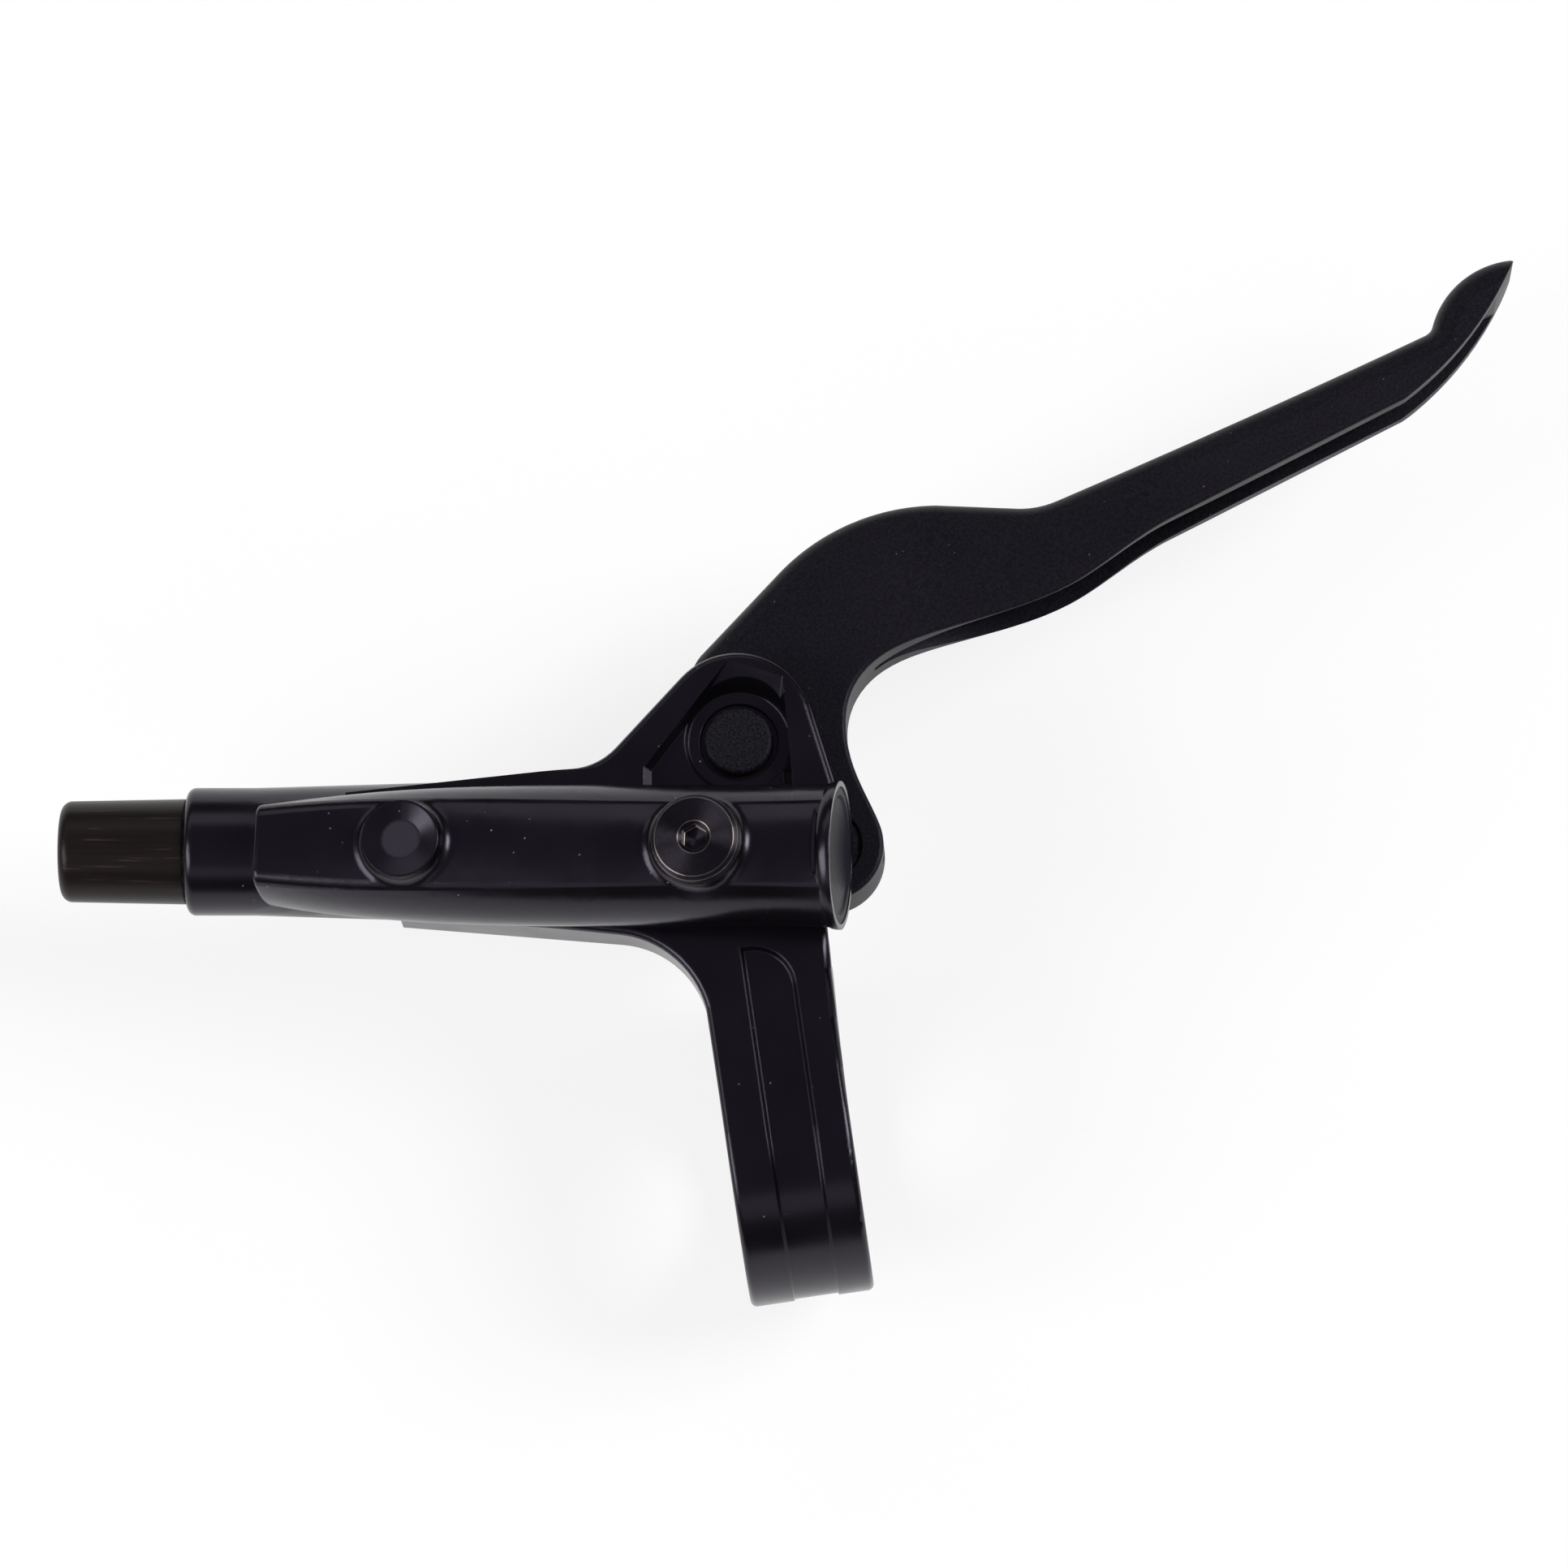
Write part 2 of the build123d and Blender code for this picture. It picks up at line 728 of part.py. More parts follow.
def clamp_bolt_cut():
    """Clearance hole in the lower lug and blind tapped hole in the upper one, in the row frame."""
    radius = clamp_bolt_diameter / 2
    clear = Pos(0, lug_bolt_y, lug_bottom * 2) * Cylinder(
        radius + clamp_bar_room * 4, -lug_bottom * 2, align=(Align.CENTER, Align.CENTER, Align.MIN)
    )
    tapped = Pos(0, lug_bolt_y, 0) * Cylinder(
        radius + thread_room, clamp_split / 2 + clamp_bolt_grip, align=(Align.CENTER, Align.CENTER, Align.MIN)
    )
    spot = Pos(0, lug_bolt_y, lug_bottom) * Cylinder(
        clamp_washer_diameter / 2 + spot_face_room,
        clamp_radius,
        align=(Align.CENTER, Align.CENTER, Align.MAX),
    )
    return clear + tapped + spot


def lever_body():
    """The whole forging with its machined bores."""
    forging = barrel_form() + tube_form() + web_form() + ear_form()
    forging = forging + row_in_lever * gusset_form()
    forging = forging + row_in_lever * clamp_form()
    forging = forging - blade_slot()
    forging = forging - post(pin_diameter / 2 + running_room, -ear_top * 2, ear_top)
    forging = forging - cylinder_cut() - reservoir_cut()
    forging = forging - row_in_lever * clamp_bolt_cut()
    return forging - blank_dish()


def blank_dish():
    """Shallow dished face of the blank boss."""
    top = tube_flat_height + blank_boss_rise
    dish = turned_up([
        (0, top - blank_dish_depth),
        (blank_dish_floor_radius, top - blank_dish_depth),
        (blank_dish_radius, top),
        (blank_dish_radius, top + blank_boss_rise),
        (0, top + blank_boss_rise),
    ])
    return tube_plane * Pos(0, 0, -blank_boss_back) * Rot(-90, 0, 0) * dish


# The blade


def rear_of(point, along, depth, angle):
    """A point behind the blade's front edge, from a place along it and the depth there."""
    return point + polar(along, angle) + polar(depth, angle - 90)


def blade_marks():
    """Named corners of the blade's plan."""
    slope = radians(root_front_angle)
    across = polar(root_front_offset, root_front_angle + 90)
    centre_y = (root_front_offset - shoulder_radius + sin(slope) * shoulder_x) / cos(slope)
    shoulder = Vector(shoulder_x, centre_y + shoulder_radius)
    saddle = Vector(saddle_x, shoulder.Y - saddle_drop)
    notch = saddle + polar(grip_front_length, grip_front_angle)
    return {
        "root": across + polar(root_front_start, root_front_angle),
        "bend": Vector(shoulder_x, centre_y) + polar(shoulder_radius, root_front_angle + 90),
        "crown": Vector(shoulder_x, centre_y) + polar(shoulder_radius, root_front_angle / 2 + 90),
        "shoulder": shoulder,
        "saddle": saddle,
        "notch": notch,
        "tip": notch + Vector(tip_x, tip_y),
        "grip_end": rear_of(notch, -grip_end_along, grip_end_depth, grip_front_angle),
        "grip_start": rear_of(saddle, grip_start_along, grip_start_depth, grip_front_angle),
        "saddle_rear": rear_of(saddle, 0, saddle_depth, grip_front_angle),
        "neck_rear": shoulder + Vector(0, -neck_depth),
        "neck_turn": Vector(neck_turn_x, neck_turn_y),
        "throat": Vector(throat_x, throat_y),
    }


def bowed(start, end, rise):
    """An arc that stands off its chord to the left by a given rise."""
    chord = end - start
    left = Vector(-chord.Y, chord.X).normalized()
    return ThreePointArc(start, (start + end) * 0.5 + left * rise, end)


def blade_plan():
    """Outline of the blade seen from above."""
    m = blade_marks()
    lobe = Vector(lobe_x, lobe_y)
    lean = degrees(atan2(lobe_y, lobe_x))
    flank = lean - degrees(atan2(lobe.length, hub_radius - lobe_radius))
    lobe_out = lobe + polar(lobe_radius, lobe_flank_angle)
    lobe_in = lobe + polar(lobe_radius, flank)
    hub_out = polar(hub_radius, flank)
    hub_in = polar(hub_radius, 180)
    rear_way = (m["grip_start"] - m["grip_end"]).normalized()
    plan = make_face([
        Line(m["root"], m["bend"]),
        ThreePointArc(m["bend"], m["crown"], m["shoulder"]),
        Line(m["shoulder"], m["saddle"]),
        bowed(m["saddle"], m["notch"], -grip_hollow),
        bowed(m["notch"], m["tip"], hook_rise),
        bowed(m["tip"], m["grip_end"], hook_rear_rise),
        Line(m["grip_end"], m["grip_start"]),
        Spline(
            m["grip_start"],
            m["saddle_rear"],
            m["neck_rear"],
            m["neck_turn"],
            m["throat"],
            tangents=[rear_way, (0, -1)],
        ),
        Spline(m["throat"], lobe_out, tangents=[(0, -1), polar(1, lobe_flank_angle - 90)]),
        ThreePointArc(lobe_out, lobe + polar(lobe_radius, (lobe_flank_angle + flank) / 2), lobe_in),
        Line(lobe_in, hub_out),
        ThreePointArc(hub_out, polar(hub_radius, (flank + 360 + 180) / 2), hub_in),
        Spline(hub_in, m["root"], tangents=[(0, 1), polar(1, root_front_angle + root_kink)]),
    ])
    for mark, radius in (("saddle", saddle_round), ("notch", hook_notch_round)):
        plan = fillet(plan.vertices().sort_by_distance(m[mark])[0], radius)
    return plan


def channel_cut():
    """Channel that hollows the blade from behind."""
    m = blade_marks()
    entry = m["neck_turn"] + Vector(0, -channel_entry_gap)
    neck = m["neck_rear"] + Vector(0, channel_neck_depth)
    saddle = rear_of(m["saddle"], 0, channel_saddle_wall, grip_front_angle)
    start = rear_of(m["saddle"], grip_start_along, channel_front_wall, grip_front_angle)
    end = rear_of(m["notch"], -grip_end_along, channel_front_wall, grip_front_angle)
    rear_x = m["grip_end"].X + channel_end_run
    close = m["tip"] + Vector(-channel_tip_wall, -channel_end_run)
    mouth = make_face([
        Spline(entry, neck, saddle, start),
        Line(start, end),
        Line(end, close),
        Line(close, (rear_x, entry.Y)),
        Line((rear_x, entry.Y), entry),
    ])
    room = side_form([
        (neck_turn_x - channel_entry_gap, channel_entry_half),
        (shoulder_x, channel_neck_half),
        (grip_flare_end_x, grip_half - channel_flange),
        (m["tip"].X + hub_radius, grip_half - channel_flange),
    ])
    return slab(mouth, -grip_half, grip_half) & room


def blade_side():
    """Side view of the blade, thicker at the grip than at the hub."""
    return side_form([
        (-hub_radius * 2, blade_half),
        (grip_flare_start_x, blade_half),
        (grip_flare_end_x, grip_half),
        (blade_marks()["tip"].X + hub_radius, grip_half),
    ])


def side_form(marks):
    """A form through the blade's whole width, from half thicknesses at places along it."""
    upper = Spline(*marks, tangents=[(1, 0), (1, 0)])
    start = marks[0]
    end = marks[-1]
    profile = make_face([
        upper,
        Line(end, (end[0], -end[1])),
        mirror(upper, Plane.XZ),
        Line((start[0], -start[1]), start),
    ])
    return extrude(Plane.XZ * profile, blade_marks()["tip"].Y * 2, both=True)


def rims_near(blade, spot):
    """The upper and the lower edge of the blade's outline that pass a point of the plan."""
    edges = blade.edges()
    upper = edges.sort_by_distance(Vector(spot.X, spot.Y, grip_half))[0]
    lower = edges.sort_by_distance(Vector(spot.X, spot.Y, -grip_half))[0]
    return [upper, lower]


def lever_blade():
    """Blade with its hub, lobe, channel and the bores for the bushes and the rod's cross barrel."""
    m = blade_marks()
    blade = slab(blade_plan(), -grip_thickness, grip_thickness) & blade_side()
    blade = fillet(rims_near(blade, m["crown"]), blade_front_round)
    blade = fillet(rims_near(blade, (m["grip_start"] + m["grip_end"]) * 0.5), blade_rear_round)
    point = make_face(Polyline(
        m["tip"] + Vector(-tip_blunt, 0),
        m["tip"] + Vector(tip_blunt, tip_blunt),
        m["tip"] + Vector(0, -tip_blunt),
        close=True,
    ))
    blade = blade - slab(point, -grip_half, grip_half) - channel_cut()
    bush = pin_diameter / 2 + running_room + bush_wall
    blade = blade - post(bush, -blade_half, blade_half)
    flange = bush_flange_diameter / 2 + bush_room
    sink = blade_half - bush_flange + bush_stand
    blade = blade - post(flange, sink, blade_half) - post(flange, -blade_half, -sink)
    lobe = Pos(lobe_x, lobe_y, 0)
    blade = blade - lobe * post(rod_barrel_radius + rod_barrel_room, -blade_half, blade_half)
    half = rod_diameter / 2 + rod_swing_room
    reach = hypot(lobe_x, lobe_y)
    fan = make_face(Polyline(
        polar(half, 90),
        polar(half, 90) + polar(reach, 180),
        polar(half, rod_swing - 90) + polar(reach, 180 + rod_swing),
        polar(half, rod_swing - 90),
        close=True,
    ))
    blade = blade - lobe * slab(fan, -half, half)
    key = Rot(0, 90, 0) * Cylinder(
        rod_key_hole_diameter / 2, lobe_radius * 2, align=(Align.CENTER, Align.CENTER, Align.MIN)
    )
    return blade - lobe * key


# The pivot


def pivot_pin():
    """Headed pin with a clip groove below the lower ear."""
    radius = pin_diameter / 2
    head_top = pin_head_seat + pin_head_height
    groove_top = -ear_top - stack_room
    groove_bottom = groove_top - clip_thickness - stack_room
    pin = turned_up([
        (0, groove_bottom - pin_tail),
        (radius - pin_groove_depth, groove_bottom - pin_tail),
        (radius, groove_bottom - pin_tail + pin_groove_depth),
        (radius, groove_bottom),
        (radius - pin_groove_depth, groove_bottom),
        (radius - pin_groove_depth, groove_top),
        (radius, groove_top),
        (radius, pin_head_seat),
        (pin_head_diameter / 2, pin_head_seat),
        (pin_head_diameter / 2, head_top),
        (0, head_top),
    ])
    rim = pin.edges().filter_by(GeomType.CIRCLE).sort_by(Axis.Z)[-1]
    return fillet(rim, pin_head_round)


def pivot_bush(side):
    """Flanged bush pressed into the hub, side +1 for the upper one."""
    inner = pin_diameter / 2 + running_room
    outer = inner + bush_wall
    face = side * (blade_half + bush_stand)
    flange = face - side * bush_flange
    return turned_up([
        (inner, face),
        (bush_flange_diameter / 2, face),
        (bush_flange_diameter / 2, flange),
        (outer, flange),
        (outer, face - side * bush_length),
        (inner, face - side * bush_length),
    ])


def pivot_clip():
    """Open clip in the pin's groove."""
    groove = pin_diameter / 2 - pin_groove_depth + running_room
    outline = Circle(clip_diameter / 2) - Circle(groove)
    outline = outline - Rectangle(clip_diameter, clip_mouth, align=(Align.MAX, Align.CENTER))
    return slab(outline, -ear_top - stack_room - clip_thickness, -ear_top - stack_room)


# The push rod


def push_rod():
    """Adjustable rod with a ball end that sits in the piston."""
    end_x = lobe_x + rod_barrel_radius - rod_end_sink
    rod = rod_diameter / 2
    neck = rod_neck_diameter / 2
    ball_back = ball_x + sqrt(ball_radius**2 - neck**2)
    neck_end = ball_x + rod_neck_length
    half = make_face([
        ThreePointArc((ball_x - ball_radius, 0), (ball_x, ball_radius), (ball_back, neck)),
        Line((ball_back, neck), (neck_end, neck)),
        Line((neck_end, neck), (neck_end, rod)),
        Line((neck_end, rod), (end_x, rod)),
        Line((end_x, rod), (end_x, 0)),
        Line((end_x, 0), (ball_x - ball_radius, 0)),
    ])
    key = Pos(end_x, 0, 0) * Rot(0, 90, 0) * extrude(hexagon(rod_key), -rod_key_depth)
    return on_bore(revolve(half, Axis.X) - key)


def push_rod_barrel():
    """Cross barrel that turns in the lobe and carries the rod."""
    half = blade_half - rod_barrel_sink
    barrel = Pos(lobe_x, lobe_y, 0) * post(rod_barrel_radius, -half, half)
    reach = rod_barrel_radius * 2
    return barrel - bore_rod(lobe_x - reach, lobe_x + reach, rod_diameter / 2 + thread_room)


# Inside the master cylinder


def piston():
    """Piston with two cup grooves, a waist between them and a seat for the rod's ball."""
    radius = bore_radius - piston_room
    groove = cup_groove_diameter / 2
    waist = piston_waist_diameter / 2
    rear = piston_face_x - cup_end_wall
    front = piston_end_x + cup_end_wall
    body = turned([
        (piston_face_x, 0),
        (piston_face_x, radius),
        (rear, radius),
        (rear, groove),
        (rear - cup_width, groove),
        (rear - cup_width, radius),
        (rear - cup_width - cup_end_wall, radius),
        (rear - cup_width - cup_end_wall, waist),
        (front + cup_width + cup_end_wall, waist),
        (front + cup_width + cup_end_wall, radius),
        (front + cup_width, radius),
        (front + cup_width, groove),
        (front, groove),
        (front, radius),
        (piston_end_x, radius),
        (piston_end_x, piston_spigot_diameter / 2),
        (piston_end_x - piston_spigot_length, piston_spigot_diameter / 2),
        (piston_end_x - piston_spigot_length, 0),
    ])
    seat = Pos(ball_x, 0, 0) * Sphere(ball_radius + ball_room)
    entry = turned([
        (ball_x, 0),
        (ball_x, ball_radius + ball_room),
        (piston_face_x, ball_radius + ball_room),
        (piston_face_x, 0),
    ])
    return on_bore(body - seat - entry)


def cup(x_start, way):
    """Rubber cup with a lip that opens towards the pressure side."""
    inner = cup_groove_diameter / 2 + cup_room
    outer = bore_radius - cup_room
    middle = (inner + outer) / 2
    x_end = x_start + way * (cup_width - stack_room)
    return on_bore(turned([
        (x_start, inner),
        (x_start, middle),
        (x_start, outer - cup_lip),
        (x_end, outer),
        (x_end, outer - cup_lip),
        (x_end - way * cup_width / 2, middle),
        (x_end, inner + cup_lip),
        (x_end, inner),
    ]))


def return_spring():
    """Coil spring between the piston and the bore's end."""
    low = bore_bottom_x + spring_wire / 2 + spring_end_room
    high = piston_end_x - spring_wire / 2 - spring_end_room
    radius = (bore_radius + piston_spigot_diameter / 2) / 2
    path = Helix((high - low) / spring_turns, high - low, radius)
    start = Plane(origin=path @ 0, z_dir=path % 0)
    coil = sweep(start * Circle(spring_wire / 2), path, is_frenet=True)
    return on_bore(Pos(low, 0, 0) * Rot(0, 90, 0) * coil)


def stop_washer():
    """Washer that the piston rests on."""
    return bore_ring(
        stop_washer_x - stop_washer_thickness,
        stop_washer_x,
        mouth_hole_diameter / 2,
        bore_radius - stack_room,
    )


def circlip():
    """Open ring that holds the stop washer."""
    outer = bore_radius + circlip_depth - stack_room
    ring = bore_ring(circlip_x - circlip_thickness, circlip_x, outer - circlip_wall, outer)
    gap = Pos(circlip_x, -push_arm, 0) * Box(
        circlip_thickness * 4, circlip_gap, outer * 2, align=(Align.CENTER, Align.CENTER, Align.MAX)
    )
    return ring - gap


def dust_boot():
    """Rubber boot in the cylinder's mouth with a short lip round the rod."""
    inner = mouth_hole_diameter / 2
    outer = mouth_seal_diameter / 2 - cup_room
    return on_bore(turned([
        (mouth_seal_x, inner),
        (mouth_seal_x, outer),
        (barrel_mouth_x, outer),
        (barrel_mouth_x, inner + boot_lip * 2),
        (barrel_mouth_x + boot_lip_length, inner + boot_lip),
        (barrel_mouth_x + boot_lip_length, inner),
    ]))


# On the reservoir


def reservoir_cap():
    """Plug with a sunk disc that closes the tube's end."""
    flange = cap_diameter / 2
    plug = chamber_radius - cap_room
    cap = turned_up([
        (0, -cap_flange),
        (plug - cap_plug_wall, -cap_flange),
        (plug - cap_plug_wall, -cap_flange - cap_plug_length),
        (plug, -cap_flange - cap_plug_length),
        (plug, -cap_flange),
        (flange, -cap_flange),
        (flange, -cap_sink),
        (cap_disc_diameter / 2, -cap_sink),
        (cap_disc_diameter / 2 - cap_disc_sink, -cap_disc_sink),
        (0, -cap_disc_sink),
    ])
    return tube_plane * cap


def reservoir_bladder():
    """Rubber cup behind the cap that lets the fluid level change."""
    top = -cap_flange - cap_plug_length - stack_room
    bottom = -chamber_length + bladder_room
    outer = chamber_radius - bladder_room
    bladder = turned_up([
        (0, bottom),
        (outer, bottom),
        (outer, top - bladder_flange),
        (chamber_radius - cap_room, top - bladder_flange),
        (chamber_radius - cap_room, top),
        (outer - bladder_wall, top),
        (outer - bladder_wall, bottom + bladder_wall),
        (0, bottom + bladder_wall),
    ])
    return tube_plane * bladder


def bleed_screw():
    """Low screw with a hexagon socket in a countersunk rim."""
    seat = tube_flat_height + bleed_boss_rise
    top = seat + bleed_head_height
    head = bleed_head_diameter / 2
    shank = bleed_shank_diameter / 2
    screw = turned_up([
        (0, seat - bleed_shank_length),
        (shank, seat - bleed_shank_length),
        (shank, seat),
        (head, seat),
        (head, top - bleed_head_chamfer),
        (head - bleed_head_chamfer, top),
        (0, top),
    ])
    key = Pos(0, 0, top) * extrude(hexagon(bleed_key), -bleed_key_depth)
    rim = turned_up([
        (0, top - (bleed_key_rim - bleed_key) / 2),
        (bleed_key / 2, top - (bleed_key_rim - bleed_key) / 2),
        (bleed_key_rim / 2, top),
        (0, top),
    ])
    return bleed_place() * (screw - key - rim)


def bleed_o_ring():
    """Seal under the bleed screw's head."""
    level = tube_flat_height + bleed_boss_rise - bleed_ring_wire / 2
    return bleed_place() * Pos(0, 0, level) * Torus(bleed_ring_diameter / 2, bleed_ring_wire / 2)


# At the hose end


def hose_nut():
    """Hexagon nut with its threaded sleeve in the hose port."""
    sleeve = bore_rod(hose_face_x - cover_face_gap, nut_end_x, nut_thread_diameter / 2)
    start_x = hose_face_x - cover_face_gap
    head = Pos(start_x, 0, 0) * Rot(0, 90, 0) * extrude(hexagon(nut_hexagon), -nut_hexagon_length)
    hole = bore_rod(start_x - nut_hexagon_length, nut_end_x, hose_bore)
    return sleeve + on_bore(head) - hole


def olive():
    """Tapered ring that the nut presses round the hose."""
    start_x = nut_end_x + stack_room
    return on_bore(turned([
        (start_x, hose_bore),
        (start_x, hose_bore + olive_thickness / 2),
        (start_x + olive_length / 2, hose_bore + olive_thickness),
        (olive_end_x, hose_bore + olive_thickness),
        (olive_end_x + olive_thickness / 2, hose_bore + olive_thickness / 2),
        (olive_end_x + olive_thickness / 2, hose_bore),
    ]))


def hose_cover():
    """Sleeve that hides the hose nut."""
    near = hose_face_x - cover_face_gap
    far = near - cover_length
    nut_far = near - nut_hexagon_length - cover_face_gap
    corner = nut_hexagon / 2 / cos(radians(30)) + cover_nut_room
    cover = turned([
        (near, corner),
        (near, cover_radius),
        (far, cover_end_radius),
        (far, hose_bore),
        (nut_far, hose_bore),
        (nut_far, corner),
    ])
    rim = cover.edges().filter_by(lambda e: abs(e.center().X - far) < on_plane).sort_by(SortBy.RADIUS)[-1]
    return on_bore(fillet(rim, cover_end_round))


# Clamp bolt, drawn in the row frame


def clamp_bolt():
    """Socket screw that closes the band from below."""
    under = lug_bottom - clamp_washer_thickness
    top = clamp_split / 2 + clamp_bolt_grip - clamp_bolt_end_room
    bolt = turned_up([
        (0, under - clamp_bolt_head_height),
        (clamp_bolt_head_diameter / 2, under - clamp_bolt_head_height),
        (clamp_bolt_head_diameter / 2, under),
        (clamp_bolt_diameter / 2, under),
        (clamp_bolt_diameter / 2, top),
        (0, top),
    ])
    key = Pos(0, 0, under - clamp_bolt_head_height) * extrude(hexagon(clamp_bolt_key), clamp_bolt_key_depth)
    return row_in_lever * Pos(0, lug_bolt_y, 0) * (bolt - key)


def clamp_washer():
    """Washer under the bolt's head."""
    inner = clamp_bolt_diameter / 2 + clamp_washer_room
    outer = clamp_washer_diameter / 2
    washer = turned_up([
        (inner, lug_bottom - clamp_washer_thickness),
        (outer, lug_bottom - clamp_washer_thickness),
        (outer, lug_bottom),
        (inner, lug_bottom),
    ])
    return row_in_lever * Pos(0, lug_bolt_y, 0) * washer


def main():
    os.makedirs("parts", exist_ok=True)
    primary_x = piston_end_x + cup_end_wall + cup_width - stack_room
    secondary_x = piston_face_x - cup_end_wall
    pieces = {
        "lever_body": lever_body(),
        "lever_blade": lever_blade(),
        "pivot_pin": pivot_pin(),
        "pivot_bush_upper": pivot_bush(1),
        "pivot_bush_lower": pivot_bush(-1),
        "pivot_clip": pivot_clip(),
        "push_rod": push_rod(),
        "push_rod_barrel": push_rod_barrel(),
        "piston": piston(),
        "primary_cup": cup(primary_x, -1),
        "secondary_cup": cup(secondary_x, -1),
        "return_spring": return_spring(),
        "stop_washer": stop_washer(),
        "circlip": circlip(),
        "dust_boot": dust_boot(),
        "reservoir_cap": reservoir_cap(),
        "reservoir_bladder": reservoir_bladder(),
        "bleed_screw": bleed_screw(),
        "bleed_o_ring": bleed_o_ring(),
        "hose_nut": hose_nut(),
        "olive": olive(),
        "hose_cover": hose_cover(),
        "clamp_bolt": clamp_bolt(),
        "clamp_washer": clamp_washer(),
    }
    for name, piece in pieces.items():
        placed = lever_in_row * piece
        export_step(placed, f"parts/{name}.step")


if __name__ == "__main__":
    main()
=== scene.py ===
"""Looks of a hydraulic brake lever that lies on a white studio table, seen from above."""
import math

import bmesh
import bpy
from mathutils import Matrix, Vector


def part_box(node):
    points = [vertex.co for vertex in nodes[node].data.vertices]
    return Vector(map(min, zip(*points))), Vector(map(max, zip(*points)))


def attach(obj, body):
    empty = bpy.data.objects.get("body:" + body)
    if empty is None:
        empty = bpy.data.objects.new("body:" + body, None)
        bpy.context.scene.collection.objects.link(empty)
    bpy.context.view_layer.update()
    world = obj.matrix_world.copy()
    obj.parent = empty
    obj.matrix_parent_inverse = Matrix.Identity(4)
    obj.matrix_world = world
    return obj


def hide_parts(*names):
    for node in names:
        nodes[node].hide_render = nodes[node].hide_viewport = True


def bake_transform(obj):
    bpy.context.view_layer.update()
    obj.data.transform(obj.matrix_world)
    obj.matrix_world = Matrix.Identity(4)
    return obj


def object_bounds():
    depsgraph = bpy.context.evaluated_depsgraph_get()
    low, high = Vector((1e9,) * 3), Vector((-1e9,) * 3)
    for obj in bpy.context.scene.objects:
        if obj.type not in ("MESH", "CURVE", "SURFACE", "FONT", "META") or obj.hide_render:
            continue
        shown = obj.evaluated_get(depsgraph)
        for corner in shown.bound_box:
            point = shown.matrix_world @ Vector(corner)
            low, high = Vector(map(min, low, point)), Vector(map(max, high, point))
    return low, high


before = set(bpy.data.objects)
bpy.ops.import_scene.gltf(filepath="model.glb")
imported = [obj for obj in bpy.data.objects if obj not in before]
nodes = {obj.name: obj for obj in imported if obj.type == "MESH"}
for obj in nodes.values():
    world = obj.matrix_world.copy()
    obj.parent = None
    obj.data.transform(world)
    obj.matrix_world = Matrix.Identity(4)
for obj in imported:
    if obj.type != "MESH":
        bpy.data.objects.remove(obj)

cad_low, cad_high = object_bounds()
MM = 0.001

# Seen from above, the master cylinder and the tube lie at this angle to the bar
LEVER_TURN = math.radians(8.5)

# The dull floor of the blank boss on the tube
BLANK_FLOOR = Vector((-35.97, 34.95, 22.85)) * MM
BLANK_FLOOR_RADIUS = 2.1 * MM

# Clamp screw, a standard M5 socket screw
THREAD_RADIUS = 2.5 * MM
THREAD_PITCH = 0.8 * MM
THREAD_DEPTH = 0.45 * MM
THREAD_STEPS = 36
HEAD_RADIUS = 4.25 * MM
HEAD_HEIGHT = 5.0 * MM
HEAD_ROUND = 0.5 * MM
KNURL_TEETH = 36
KNURL_DEPTH = 0.14 * MM
KNURL_FLANK = 0.07 * MM
SOCKET_WIDTH = 4.0 * MM
SOCKET_DEPTH = 2.6 * MM
SOCKET_LEAD = 0.25 * MM

# Points of a new piece that are nearer than this are merged
SAME_POINT = 0.0005 * MM

# Streaks on the hose cover are this many times as long as they are wide
STREAK_STRETCH = 24

# The table lies just under the lever. To the camera and in reflections, this share of it is plain white
# and the rest shows light and shadow
TABLE_WIDTH = 8.0
TABLE_GAP = 0.5 * MM
TABLE_WHITE = 0.8

# All lamps are aimed at the middle of the lever
LAMP_AIM = Vector((0.0, 0.03, 0.0))

# The photograph's view: from above, leaning back towards the rider, with the tube level in the picture
IMAGE_WIDTH_AT_LEVER = 168.0 * MM
CAMERA_DISTANCE = 900.0 * MM
CAMERA_TARGET = Vector((4.85, 38.2, 8.0)) * MM
CAMERA_REACH = 20.0
SENSOR_WIDTH = 36.0
LEAN_TO_RIDER = math.radians(12.5)
LEAN_SIDEWAYS = math.radians(1.9)


def linear(hex_colour):
    """An sRGB hex colour as the linear RGBA that the shaders take."""
    channels = [int(hex_colour[i:i + 2], 16) / 255 for i in (1, 3, 5)]
    return [c / 12.92 if c <= 0.04045 else ((c + 0.055) / 1.055) ** 2.4 for c in channels] + [1.0]


def per(size):
    """Texture scale for a pattern that repeats about once in a size in metres."""
    return 1.0 / size


def add(tree, kind, settings=None, inputs=None, links=None):
    """Adds one node: its settings, its socket values, and links from other nodes' outputs."""
    node = tree.nodes.new(kind)
    for name, value in (settings or {}).items():
        setattr(node, name, value)
    for name, value in (inputs or {}).items():
        node.inputs[name].default_value = value
    for name, (source, output) in (links or {}).items():
        tree.links.new(source.outputs[output], node.inputs[name])
    return node


def new_material(name, **sockets):
    """An empty node material with its shader, its output and the shader's plain values."""
    material = bpy.data.materials.new(name)
    material.use_nodes = True
    tree = material.node_tree
    tree.nodes.clear()
    values = {key.replace("_", " ").title().replace("Ior", "IOR"): value for key, value in sockets.items()}
    shader = add(tree, "ShaderNodeBsdfPrincipled", inputs=values)
    add(tree, "ShaderNodeOutputMaterial", links={"Surface": (shader, "BSDF")})
    return material, tree, shader


def dress(material, *names):
    """Gives CAD nodes their finish."""
    for name in names:
        mesh = nodes[name].data
        mesh.materials.clear()
        mesh.materials.append(material)


